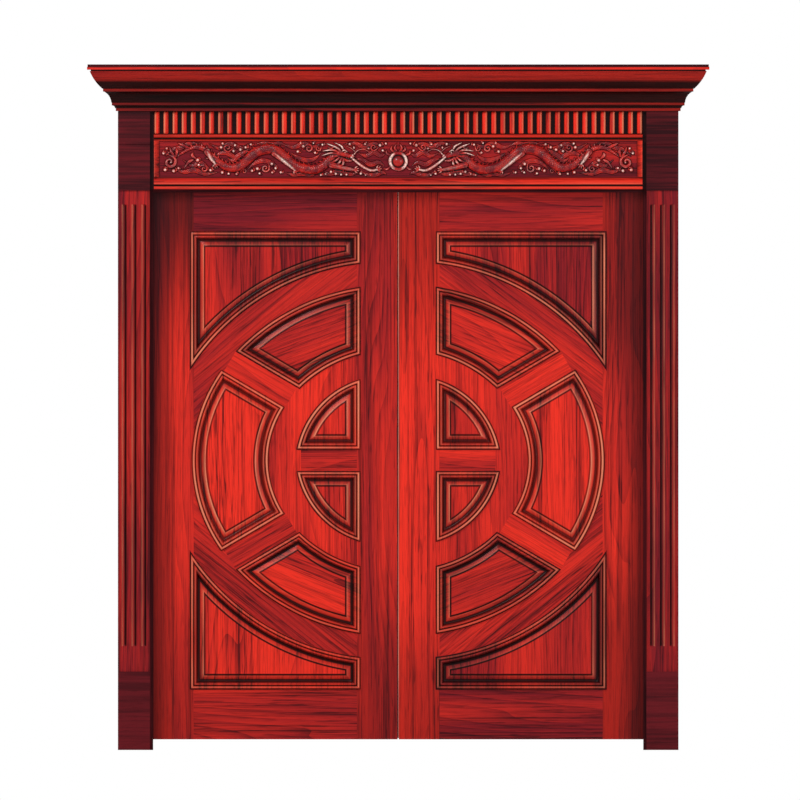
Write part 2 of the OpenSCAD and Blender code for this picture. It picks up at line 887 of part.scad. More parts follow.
// A rounded bar along points with a half width for each, sunk below the board so that it can be trimmed.
module bar(points, widths, steps = 2) {
  path = [for (p = points) fitted(p)];
  rings = (len(path) - 1) * steps;
  sides = 6;
  row = sides + 1;
  vertices = [
    for (k = [0 : rings])
      let (x = k / steps)
      let (p = spline(path, x))
      let (n = left_of(heading(path, x)))
      let (r = carving_scale * spline(widths, x))
      let (rise = body_rise / max(girth) * spline(widths, x))
      for (j = [0 : sides])
        let (a = 220 * j / sides - 20)
        [p.x + n.x * r * cos(a), p.y + n.y * r * cos(a), rise * sin(a)]
  ];
  skin = [
    for (k = [0 : rings - 1], j = [0 : sides])
      let (a = k * row + j)
      let (b = k * row + (j + 1) % row)
      [a, a + row, b + row, b]
  ];
  tail_cap = [for (j = [0 : sides]) j];
  head_cap = [for (j = [0 : sides]) rings * row + sides - j];
  polyhedron(vertices, concat(skin, [tail_cap, head_cap]));
}

module chisel_end(r, h, low) {
  cylinder(h = h * carving_scale + low, r1 = r * carving_scale, r2 = r * carving_scale / 2, $fn = 6);
}

// A chiselled stroke between two points.
module stroke(p, q, r0, r1, h0, h1) {
  low = 1 + (abs(7 * p.x + 3 * q.y + r1) % 10) / 7;
  hull() {
    translate([fitted(p).x, fitted(p).y, -low])
      chisel_end(r0, h0, low);
    translate([fitted(q).x, fitted(q).y, -low])
      chisel_end(r1, h1, low);
  }
}

module strokes(points, widths, heights) {
  for (k = [0 : len(points) - 2])
    stroke(
      points[k], points[k + 1],
      widths[k] * (1 - 0.07 * k), widths[k + 1],
      heights[k] - 0.6 * k, heights[k + 1]);
}

module foot(p, a) {
  for (k = [0 : 3])
    stroke(p, p + 20 * unit(a + [-50, -15, 20, 60][k]), 4.6 - 0.25 * k, 1.3, 12.5 - 0.7 * k, 5);
}

module leg(points, a) {
  strokes(points, [13, 9, 6], [19, 16, 12]);
  foot(points[2] + [0.7, 0.4], a);
}

module cloud(p, a, size) {
  turns = [for (k = [0 : 6]) p + size * (1 - k * 0.13) * unit(a + 62 * k)];
  bar(turns, size / 17 * [2.5, 4, 4.6, 4.4, 3.8, 3.2, 2.4]);
  stroke(turns[0], turns[0] + size * 1.3 * unit(a - 75), 3.4, 1, 6, 3);
}

module dragon_head() {
  stroke([214, 20], [188, 13], 16, 11, 24, 20);
  stroke([188.5, 12.6], [170, 10], 9.6, 8, 18.5, 21);
  stroke([206, 2], [178, -5], 9, 6, 17, 13);
  strokes([[216, 30], [238, 46], [264, 57]], [6, 5, 1.5], [22, 20, 10]);
  strokes([[206, 32], [214, 49], [236, 61]], [5, 4, 1.5], [21, 18, 9]);
  strokes([[226, 27], [252, 33], [276, 27]], [7, 5, 1.5], [18, 14, 8]);
  strokes([[212, 3], [222, -13], [243, -7]], [7, 5, 1.5], [17, 13, 7]);
  stroke([200, 28], [194, 25], 5, 4.6, 26, 25);
  bar([[170, 12], [152, 32], [128, 36], [104, 24]], [3, 3, 2.5, 1.5]);
}

module dragon_tail() {
  strokes([[784, 42], [806, 51], [826, 60]], [5, 6, 1.5], [9, 12, 6]);
  strokes([[842, 6], [852, 24], [858, 45]], [5, 5.5, 1.5], [9, 11, 6]);
  strokes([[770, -3], [786, -12], [802, -33]], [3, 7, 1.5], [8, 12, 6]);
}

module dragon_fins() {
  for (k = [3 : 28]) {
    x = k * 0.7;
    p = spline(spine, x);
    n = -left_of(heading(spine, x));
    back = unit(heading(spine, x));
    r = spline(girth, x);
    stroke(p + 0.7 * r * n, p + (r + 6) * n - 6 * back, 5, 1.3, 0.75 * r, 4);
  }
}

module dragon_flat() {
  intersection() {
    union() {
      bar(spine, girth);
      dragon_fins();
      dragon_head();
      dragon_tail();
      leg([[716, 28], [704, 6], [686, -18]], 255);
      leg([[464, 22], [430, -6], [388, -41]], 228);
      leg([[252, -20], [206, -33], [164, -40]], 178);
      strokes([[174, 6], [142, -22], [106, -42], [80, -40]], [5, 6, 6.4, 6], [15, 13.5, 13, 12]);
      foot([78.7, -39.6], 150);
      cloud([856, -11], 90, 25);
      cloud([728, -36], 40, 15);
      cloud([640, 42], 200, 17);
      cloud([578, -46], 20, 10);
      cloud([498, -34], 150, 16);
      cloud([336, 40], 20, 17);
      cloud([300, 40], 170, 11);
      cloud([146, 50], 30, 10);
      cloud([92, 44], 200, 14);
    }
    translate([0, -carving_h, 0])
      cube([reach / 4, 2 * carving_h, 100]);
  }
}

module dragon(side) {
  color(wood)
    placed()
      on_side(side)
        translate([0, -board_t, carving_z + carving_h / 2])
          rotate([90, 0, 0])
            dragon_flat();
}

module pearl() {
  color(wood)
    placed()
      translate([0, -board_t, carving_z + carving_h / 2 - 8 * carving_scale])
        rotate([90, 0, 0]) {
          cylinder(h = 7, r = pearl_r, $fn = 96);
          translate([0, 0, 6])
            cylinder(h = 5, r1 = pearl_r * 0.9, r2 = pearl_r * 0.72, $fn = 96);
          intersection() {
            translate([0, 0, 2])
              sphere(r = pearl_r * 0.62, $fn = 96);
            cylinder(h = 2 * pearl_r, r = pearl_r, $fn = 96);
          }
          linear_extrude(9)
            polygon([[-16, pearl_r - 8], [-24, pearl_r + 14], [-9, pearl_r + 8], [0, pearl_r + 32],
                     [9, pearl_r + 8], [24, pearl_r + 14], [16, pearl_r - 8]]);
        }
}

module left_jamb() { jamb(-1); }
module right_jamb() { jamb(1); }
module left_pilaster() { pilaster(-1); }
module right_pilaster() { pilaster(1); }
module left_plinth() { block(-1, 0, plinth_h, -plinth_step_h); }
module right_plinth() { block(1, 0, plinth_h, -plinth_step_h); }
module left_capital() { block(-1, cornice_z - capital_h, capital_h, capital_step_h); }
module right_capital() { block(1, cornice_z - capital_h, capital_h, capital_step_h); }
module cornice_left_return() { cornice_return(-1); }
module cornice_right_return() { cornice_return(1); }
module frieze_left_end() { frieze_end(-1); }
module frieze_right_end() { frieze_end(1); }
module left_dragon() { dragon(-1); }
module right_dragon() { dragon(1); }

module left_hinge_stile() { hinge_stile(-1); }
module left_meeting_stile() { meeting_stile(-1); }
module left_top_rail() { end_rail(-1, true); }
module left_bottom_rail() { end_rail(-1, false); }
module left_upper_arch() { arch(-1, true); }
module left_lower_arch() { arch(-1, false); }
module left_upper_spoke() { spoke(-1, true); }
module left_lower_spoke() { spoke(-1, false); }
module left_hub() { hub(-1); }
module left_mid_rail() { mid_rail(-1); }
module left_upper_spandrel() { leaf_panel(-1, spandrel_panel()); }
module left_upper_fan() { leaf_panel(-1, fan_panel()); }
module left_upper_quarter() { leaf_panel(-1, quarter_panel()); }
module left_ring_panel() { leaf_panel(-1, ring_panel()); }
module left_lower_quarter() { leaf_panel(-1, quarter_panel(), false); }
module left_lower_fan() { leaf_panel(-1, fan_panel(), false); }
module left_lower_spandrel() { leaf_panel(-1, spandrel_panel(), false); }
module left_hinge_plates() { leaf_hinges(-1); }

module right_hinge_stile() { hinge_stile(1); }
module right_meeting_stile() { meeting_stile(1); }
module right_top_rail() { end_rail(1, true); }
module right_bottom_rail() { end_rail(1, false); }
module right_upper_arch() { arch(1, true); }
module right_lower_arch() { arch(1, false); }
module right_upper_spoke() { spoke(1, true); }
module right_lower_spoke() { spoke(1, false); }
module right_hub() { hub(1); }
module right_mid_rail() { mid_rail(1); }
module right_upper_spandrel() { leaf_panel(1, spandrel_panel()); }
module right_upper_fan() { leaf_panel(1, fan_panel()); }
module right_upper_quarter() { leaf_panel(1, quarter_panel()); }
module right_ring_panel() { leaf_panel(1, ring_panel()); }
module right_lower_quarter() { leaf_panel(1, quarter_panel(), false); }
module right_lower_fan() { leaf_panel(1, fan_panel(), false); }
module right_lower_spandrel() { leaf_panel(1, spandrel_panel(), false); }
module right_hinge_plates() { leaf_hinges(1); }

left_jamb();
right_jamb();
head_jamb();
left_pilaster();
right_pilaster();
left_plinth();
right_plinth();
left_capital();
right_capital();
cornice_front();
cornice_left_return();
cornice_right_return();
cornice_cover();
reed_band();
frieze_board();
frieze_base();
frieze_top();
frieze_left_end();
frieze_right_end();
left_dragon();
right_dragon();
pearl();
hinge_jamb_plates();
hinge_pins();
left_hinge_stile();
left_meeting_stile();
left_top_rail();
left_bottom_rail();
left_upper_arch();
left_lower_arch();
left_upper_spoke();
left_lower_spoke();
left_hub();
left_mid_rail();
left_upper_spandrel();
left_upper_fan();
left_upper_quarter();
left_ring_panel();
left_lower_quarter();
left_lower_fan();
left_lower_spandrel();
left_hinge_plates();
right_hinge_stile();
right_meeting_stile();
right_top_rail();
right_bottom_rail();
right_upper_arch();
right_lower_arch();
right_upper_spoke();
right_lower_spoke();
right_hub();
right_mid_rail();
right_upper_spandrel();
right_upper_fan();
right_upper_quarter();
right_ring_panel();
right_lower_quarter();
right_lower_fan();
right_lower_spandrel();
right_hinge_plates();
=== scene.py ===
"""Dresses the carved double door: red lacquered leaves, fluted pilasters, carved frieze and cornice."""

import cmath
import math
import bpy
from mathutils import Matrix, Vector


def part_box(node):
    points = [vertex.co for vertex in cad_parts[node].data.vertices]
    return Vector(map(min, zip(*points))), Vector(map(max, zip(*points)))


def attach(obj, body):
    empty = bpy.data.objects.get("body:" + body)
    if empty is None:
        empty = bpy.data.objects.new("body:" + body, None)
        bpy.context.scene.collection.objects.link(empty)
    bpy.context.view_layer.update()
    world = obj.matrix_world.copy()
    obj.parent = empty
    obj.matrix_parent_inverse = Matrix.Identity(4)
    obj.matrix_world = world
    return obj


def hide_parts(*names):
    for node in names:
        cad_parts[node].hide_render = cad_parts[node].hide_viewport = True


bl_info = {
    "name": "Carved Double Door",
    "version": (1, 0, 0),
    "blender": (4, 5, 0),
    "location": "3D View > Sidebar > Carved Door",
    "description": "Panels, mouldings, carving and finishes of a carved double door in its frame",
    "category": "Object",
}

import bpy
import numpy as np
from bpy.props import FloatProperty, FloatVectorProperty, IntProperty, PointerProperty

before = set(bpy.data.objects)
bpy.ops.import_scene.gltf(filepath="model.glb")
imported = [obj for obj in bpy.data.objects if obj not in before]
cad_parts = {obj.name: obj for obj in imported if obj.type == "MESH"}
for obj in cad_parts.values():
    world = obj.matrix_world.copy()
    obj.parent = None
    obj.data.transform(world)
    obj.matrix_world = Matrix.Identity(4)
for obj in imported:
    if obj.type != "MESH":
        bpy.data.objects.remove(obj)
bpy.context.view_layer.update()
MM = 0.001
SIDES = {"left": -1, "right": 1}


def low(node):
    """Low corner of a part of the frame, in metres."""
    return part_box(node)[0]


def high(node):
    """High corner of a part of the frame, in metres."""
    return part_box(node)[1]


LEAF_FRONT = low("right_meeting_stile")[1]
LEAF_BACK = high("right_meeting_stile")[1]
OVAL_Z = (high("right_upper_spandrel")[2] + low("right_lower_spandrel")[2]) / 2
BOARD_FRONT = low("frieze_board")[1]
WALL_Y = high("frieze_board")[1]
CARVING_Z = (high("frieze_base")[2] + low("frieze_top")[2]) / 2


def srgb(*values):
    """Linear colour of a colour given in 8-bit screen values."""
    return tuple((v / 255 / 12.92) if v <= 10 else ((v / 255 + 0.055) / 1.055) ** 2.4 for v in values)


def length(label, description, default):
    return FloatProperty(name=label, description=description, default=default, min=0.0, unit="LENGTH", precision=4)


def colour(label, description, default):
    return FloatVectorProperty(name=label, description=description, default=default, min=0.0, max=1.0,
                               subtype="COLOR", size=3)


class CarvedDoorSizes(bpy.types.PropertyGroup):
    """Sizes of the dressed pieces."""

    inner_u: length("Meeting side", "From the middle of the door to the panels", low("right_upper_spandrel")[0])
    outer_u: length("Hinge side", "From the middle of the door to the far side of the panels",
                    high("right_upper_spandrel")[0])
    panel_v: length("Panel reach", "From the middle of the ovals to the top of the panels",
                    high("right_upper_spandrel")[2] - OVAL_Z)
    ring_u: length("Oval half width", "Half width of the ring of panels", high("right_ring_panel")[0])
    spandrel_h: length("Spandrel height", "Height of a spandrel panel on the middle line of the door", 0.106)
    arch_w: length("Arch width", "Width of the arches outside the ring of panels", 0.091)
    ring_w: length("Ring width", "Width of the ring of panels", 0.242)
    hub_w: length("Hub width", "Width of the hub around the quarter panels", 0.091)
    spoke_w: length("Spoke width", "Width of the spokes", 0.092)
    mid_rail_w: length("Mid rail height", "Height of the rail between the quarter panels", 0.086)
    spoke_angle: FloatProperty(name="Spoke slope", description="Slope of the spokes",
                               default=math.radians(30.5), subtype="ANGLE")
    bead_w: length("Bead width", "Width of the two beads of the panel moulding", 0.010)
    bead_top: length("Bead height", "Height of the outer bead above the leaf", 0.0105)
    inner_bead_top: length("Inner bead height", "Height of the inner bead above the leaf", 0.008)
    mould_w: length("Moulding width", "Width of the panel moulding", 0.033)
    cove_r: length("Moulding hollow", "Radius of the hollow of the panel moulding", 0.0095)
    panel_drop: length("Panel drop", "Depth of the panel edge below the leaf", 0.007)
    bevel_w: length("Bevel width", "Width of the bevel around the raised field", 0.018)
    field_h: length("Field height", "Height of the raised field above the leaf", 0.001)
    flute_r: length("Flute radius", "Radius of a pilaster flute", 0.008)
    flute_d: length("Flute depth", "Depth of a pilaster flute", 0.0055)
    flute_pitch: length("Flute pitch", "Distance between the flutes", 0.037)
    reed_r: length("Reed radius", "Radius of a reed", 0.010)
    reed_pitch: length("Reed pitch", "Distance between the reeds", 0.03415)
    reeds: IntProperty(name="Reeds", description="Number of reeds", default=54, min=2)
    pearl_r: length("Pearl radius", "Radius of the pearl with its rim", 0.037)
    carving_step: length("Carving step", "Distance between the points of the carved surface", 0.00125)


class CarvedDoorFinish(bpy.types.PropertyGroup):
    """Colours of the finishes."""

    bright: colour("Bright wood", "Lacquered wood where the light colour shows", srgb(229, 48, 33))
    deep: colour("Deep wood", "Lacquered wood in its dark bands", srgb(112, 20, 30))
    line: colour("Grain line", "Dark lines of the grain", srgb(42, 8, 14))
    dark: colour("Dark wood", "Plinths, capitals and shaded boards", srgb(98, 22, 29))
    # The colour of the dark glazing also serves as painted shade in hollows, gaps and undersides; the rubbed-edge
    # colour also serves as painted highlight, and the crest colour is a painted highlight on the carving.
    glaze_and_shade: colour("Glaze", "Dark glaze left in the hollows", srgb(9, 1, 1))
    rub_and_highlight: colour("Rubbed edge", "Arrises where the glaze is rubbed through", srgb(224, 128, 96))
    crest_highlight: colour("Crest", "Crests of the carving, rubbed to a shine", srgb(255, 226, 212))
    steel: colour("Hinge metal", "Metal of the hinges", (0.55, 0.52, 0.46))


class Value:
    """A value that varies over a surface; arithmetic on it adds Math nodes."""

    def __init__(self, nodes, socket):
        self.nodes = nodes
        self.socket = socket

    def math(self, operation, *others, clamp=False):
        return self.nodes.math(operation, self, *others, clamp=clamp)

    def __add__(self, other):
        return self.math("ADD", other)

    __radd__ = __add__

    def __sub__(self, other):
        return self.math("SUBTRACT", other)

    def __mul__(self, other):
        return self.math("MULTIPLY", other)

    __rmul__ = __mul__

    def __pow__(self, other):
        return self.math("POWER", other)

    def __abs__(self):
        return self.math("ABSOLUTE")

    def fraction(self):
        return self.math("FRACT")

    def clamped(self):
        return self.math("ADD", 0.0, clamp=True)

    def between(self, start, end):
        """A smooth step from 0 at start to 1 at end."""
        return self.nodes.add("ShaderNodeMapRange", {"interpolation_type": "SMOOTHSTEP"},
                              {"Value": self, "From Min": start, "From Max": end})


class Nodes:
    """A node tree in the making; each method adds a node and returns its value."""

    def __init__(self, tree):
        self.tree = tree

    def add(self, kind, settings=None, sockets=None, out=0):
        """Adds a node; its sockets take numbers, colours or the values of other nodes."""
        node = self.tree.nodes.new(kind)
        for key, value in (settings or {}).items():
            setattr(node, key, value)
        for key, value in (sockets or {}).items():
            if isinstance(value, Value):
                self.tree.links.new(value.socket, node.inputs[key])
            else:
                node.inputs[key].default_value = value
        return Value(self, node.outputs[out])

    def math(self, operation, *values, clamp=False):
        return self.add("ShaderNodeMath", {"operation": operation, "use_clamp": clamp}, dict(enumerate(values)))

    def mix(self, factor, a, b):
        a, b = (c if isinstance(c, Value) else (*c, 1.0) for c in (a, b))
        return self.add("ShaderNodeMix", {"data_type": "RGBA"}, {0: factor, 6: a, 7: b}, out=2)

    def dot(self, vector, direction):
        return self.add("ShaderNodeVectorMath", {"operation": "DOT_PRODUCT"}, {0: vector, 1: direction}, out="Value")

    def place(self):
        """The point on the piece, in the frame of the door at rest."""
        return self.add("ShaderNodeTexCoord", out="Object")

    def mark(self, name):
        """A value stored on the points of the piece."""
        return self.add("ShaderNodeAttribute", {"attribute_name": name}, out="Fac")

    def noise(self, vector, detail=2.0, roughness=0.5, scale=1.0):
        return self.add("ShaderNodeTexNoise", {},
                        {"Vector": vector, "Scale": scale, "Detail": detail, "Roughness": roughness})

    def bump(self, height, strength, distance):
        return self.add("ShaderNodeBump", {}, {"Height": height, "Strength": strength, "Distance": distance})


class Finish(Nodes):
    """A material built up from nodes around one surface shader."""

    def __init__(self, name, constants):
        self.material = bpy.data.materials.new(name)
        self.material.use_nodes = True
        super().__init__(self.material.node_tree)
        self.tree.nodes.clear()
        output = self.tree.nodes.new("ShaderNodeOutputMaterial")
        self.shader = self.tree.nodes.new("ShaderNodeBsdfPrincipled")
        self.tree.links.new(self.shader.outputs[0], output.inputs[0])
        for socket, value in constants.items():
            self.shader.inputs[socket].default_value = value

    def feed(self, values):
        for socket, value in values.items():
            self.tree.links.new(value.socket, self.shader.inputs[socket])
        return self.material

    def grain(self, heading, offsets, depth):
        """The way across a grain that runs at a heading from level, and a function for its noise at a stretch."""
        a = math.radians(heading)
        along, across, inward = (self.dot(self.place(), way) for way in (
            (math.cos(a), 0.0, math.sin(a)), (-math.sin(a), 0.0, math.cos(a)), (0.0, 1.0, 0.0)))

        def noise(run, cross, detail, roughness=0.5):
            stretched = (along * run, across * cross, inward * cross * depth)
            point = {k: value + offset for k, (value, offset) in enumerate(zip(stretched, offsets))}
            return self.noise(self.add("ShaderNodeCombineXYZ", {}, point), detail, roughness)

        return across, noise


def lacquered_wood(name, heading, seed, tone=0.0, shades=(), rubbed=1.0, figure=1.0):
    """Red lacquered wood: heading is the run of its grain in degrees from level, tone how dark it is.

    Each of the shades darkens it towards the grain-line colour between two heights, or between two distances to the
    side of the door's middle; the shades to the side are painted shadow.
    """
    look = bpy.context.scene.carved_door_finish
    f = Finish(name, {"Specular IOR Level": 0.07, "Coat Weight": 0.03, "Coat Roughness": 0.1})
    across, grain = f.grain(heading, (seed * 1.7, seed * 3.1, seed), 0.4)
    rings = (across * 42.0 + grain(0.5, 4.6, 1.0) * 17.0).fraction()
    edge = rings ** 4.0 * figure
    bands = grain(0.55, 7.0, 2.0).between(0.32, 0.68)
    streaks = grain(0.8, 46.0, 3.0, 0.65).between(0.46, 0.7)
    hairs = grain(2.2, 180.0, 2.0, 0.6).between(0.47, 0.64)
    flecks = grain(10.0, 130.0, 1.0).between(0.56, 0.68)
    fibres = grain(6.0, 420.0, 2.0, 0.65)
    pores = grain(14.0, 560.0, 1.0).between(0.58, 0.72)
    colour = f.mix((bands * 0.62 + rings * 0.18 + fibres * 0.3 - 0.42 + tone).clamped(), look.bright, look.deep)
    dark = edge * 0.4 + streaks * 0.6 + hairs * 0.55 + flecks * 0.4 - 0.16
    colour = f.mix((dark * (0.5 + bands * 0.7)).clamped() * 0.85, colour, look.line)
    colour = f.mix(pores * 0.35, colour, look.line)
    spans = {"side": abs(f.dot(f.place(), (1.0, 0.0, 0.0))), "height": f.dot(f.place(), (0.0, 0.0, 1.0))}
    # A shade set to the side is painted shadow in the grain-line colour.
    for span, start, end, depth in shades:
        reach = spans[span] + (streaks - 0.4) * (end - start) * 0.25
        colour = f.mix((reach.between(start, end) * depth).clamped(), colour, look.line)
    # Rubbed arrises with a painted highlight, broken up in patches, then dark glazing with painted shade; the rubbed
    # argument scales the painted highlight as well.
    patchiness = grain(2.5, 2.5, 2.0).between(0.35, 0.7)
    rub_and_highlight = f.mark("rub_and_highlight") * (0.45 + patchiness * 0.75)
    glaze_and_shade = (f.mark("glaze_and_shade") + (fibres - 0.5) * 0.1).clamped()
    colour = f.mix((rub_and_highlight * (0.6 + fibres * 0.5) * rubbed).clamped(), colour, look.rub_and_highlight)
    colour = f.mix(glaze_and_shade * 0.98, colour, look.glaze_and_shade)
    height = fibres * 0.5 - edge * 0.3 - pores * 0.8
    return f.feed({
        "Base Color": colour,
        "Roughness": (0.3 + fibres * 0.14 + pores * 0.15).clamped(),
        "Normal": f.bump(height, 0.25, 0.0004),
    })


def dark_wood(name, heading, seed, tone=0.0):
    """Maroon lacquer over wood whose grain only just shows."""
    look = bpy.context.scene.carved_door_finish
    f = Finish(name, {"Specular IOR Level": 0.06, "Coat Weight": 0.02, "Coat Roughness": 0.15})
    _, grain = f.grain(heading, (seed, seed * 2.3, 0.0), 0.5)
    bands = grain(0.6, 9.0, 2.0).between(0.36, 0.66)
    streaks = grain(2.5, 90.0, 3.0).between(0.36, 0.64)
    pores = grain(16.0, 620.0, 1.0).between(0.6, 0.74)
    glaze_and_shade = f.mark("glaze_and_shade")
    colour = f.mix((bands * 0.4 + streaks * 0.5 - 0.1 + tone).clamped(), look.dark, look.line)
    colour = f.mix((pores * 0.45).clamped(), colour, look.glaze_and_shade)
    # Dark glazing with painted shade where the piece carries that mark.
    colour = f.mix(glaze_and_shade * 0.95, colour, look.glaze_and_shade)
    return f.feed({
        "Base Color": colour,
        "Roughness": (0.34 + streaks * 0.16).clamped(),
        "Normal": f.bump(streaks * 0.5 - pores, 0.25, 0.0004),
    })


def carved_wood(name):
    """Glossy carving: deep red with painted highlights on the crests and dark glazing with painted shade in the
    hollows.
    """
    look = bpy.context.scene.carved_door_finish
    f = Finish(name, {"Specular IOR Level": 0.16, "Coat Weight": 0.12, "Coat Roughness": 0.06})
    place = f.place()
    patches = f.noise(place, 2.0, 0.5, 38.0).between(0.35, 0.65)
    grit = f.noise(place, 2.0, 0.6, 900.0)
    patchiness = f.noise(place, 2.0, 0.6, 130.0).between(0.4, 0.58)
    glaze_and_shade = f.mark("glaze_and_shade")
    rub_and_highlight = f.mark("rub_and_highlight")
    colour = f.mix(0.42 + patches * 0.55, look.bright, look.deep)
    # Painted highlight on the crests, broken up in patches, then painted shade in the hollows.
    colour = f.mix((rub_and_highlight * (0.1 + grit * 0.5 + patchiness * 0.6)).clamped(), colour, look.crest_highlight)
    colour = f.mix((glaze_and_shade * (0.85 + grit * 0.4)).clamped(), colour, look.glaze_and_shade)
    return f.feed({
        "Base Color": colour,
        "Roughness": (0.14 + grit * 0.1 + glaze_and_shade * 0.3).clamped(),
        "Normal": f.bump(grit, 0.15, 0.0003),
    })


def hinge_metal(name):
    """Satin metal with fine lengthwise brushing."""
    look = bpy.context.scene.carved_door_finish
    f = Finish(name, {"Metallic": 1.0})
    place = f.place()
    lines = f.noise(f.add("ShaderNodeMapping", {}, {"Vector": place, "Scale": (900.0, 900.0, 40.0)}), 2.0)
    tarnish = f.noise(place, 3.0, 0.6, 60.0).between(0.45, 0.75)
    colour = f.mix(tarnish * 0.5, look.steel, tuple(c * 0.45 for c in look.steel))
    return f.feed({
        "Base Color": colour,
        "Roughness": (0.28 + lines * 0.14 + tarnish * 0.15).clamped(),
        "Normal": f.bump(lines, 0.1, 0.0002),
    })


def piece(name, points, faces, material, body, marks=None, nodes=(), sharp=35.0, flip=False):
    """Adds one piece of the door, in metres and in the frame's own place."""
    mesh = bpy.data.meshes.new(name)
    mesh.from_pydata(points, [], [face[::-1] for face in faces] if flip else faces)
    for mark, values in (marks or {}).items():
        mesh.attributes.new(mark, "FLOAT", "POINT").data.foreach_set("value", values)
    mesh.polygons.foreach_set("use_smooth", [True] * len(mesh.polygons))
    mesh.set_sharp_from_angle(angle=math.radians(sharp))
    mesh.materials.append(material)
    mesh.validate()
    thing = bpy.data.objects.new(name, mesh)
    bpy.context.scene.collection.objects.link(thing)
    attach(thing, body)
    if nodes:
        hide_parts(*nodes)


def paint(node, material):
    """Gives a part of the frame its finish."""
    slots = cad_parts[node].data.materials
    slots.clear()
    slots.append(material)


def bands(rows, closed=True):
    """Faces between rows of equal length; closed rows are rings, and the first and last are capped."""
    faces = []
    count = len(rows[0])
    for r in range(len(rows) - 1):
        for k in range(count if closed else count - 1):
            n = (k + 1) % count
            faces.append((r * count + k, r * count + n, (r + 1) * count + n, (r + 1) * count + k))
    if closed:
        last = (len(rows) - 1) * count
        faces += [tuple(range(count - 1, -1, -1)), tuple(range(last, last + count))]
    return faces


def join(points, faces, rows, closed=True, flip=False):
    """Adds the points of rows and the faces between them to those of a piece."""
    base = len(points)
    faces += [tuple(base + i for i in face[::-1 if flip else 1]) for face in bands(rows, closed)]
    points += [p for row in rows for p in row]


def centre_of(p, q, r):
    """Centre of the circle through three points."""
    w = (r - p) / (q - p)
    return p + (q - p) * complex(0.5, (abs(w) ** 2 - w.real) / (2 * w.imag))


class Straight:
    """A straight side of a panel; the panel lies to its left."""

    def __init__(self, point, heading):
        self.point = point
        self.heading = heading

    def moved(self, inset):
        """The same side, moved into the panel."""
        return Straight(self.point + 1j * self.heading * inset, self.heading)

    def run(self, start, end):
        """Points from start to end, without the end."""
        return [start + (end - start) * share for share in (0.0, 0.04, 0.5, 0.96)]


class Round:
    """A curved side of a panel; side is 1 where the panel lies inside the circle."""

    steps = 44

    def __init__(self, centre, radius, side):
        self.centre = centre
        self.radius = radius
        self.side = side

    def moved(self, inset):
        return Round(self.centre, self.radius - self.side * inset, self.side)

    def run(self, start, end):
        turn = cmath.phase((end - self.centre) / (start - self.centre)) / self.steps
        return [self.centre + (start - self.centre) * cmath.rect(1.0, turn * k) for k in range(self.steps)]


def meeting(a, b, near):
    """Where two sides meet, nearest to a point."""
    if isinstance(a, Round):
        a, b = b, a
    if isinstance(b, Straight):
        cross = (a.heading.conjugate() * b.heading).imag
        return a.point + a.heading * ((b.point - a.point).conjugate() * b.heading).imag / cross
    gap = a.point - b.centre
    half = (gap.conjugate() * a.heading).real
    root = math.sqrt(half * half - abs(gap) ** 2 + b.radius ** 2)
    return min((a.point + a.heading * (s * root - half) for s in (1, -1)), key=lambda p: abs(p - near))


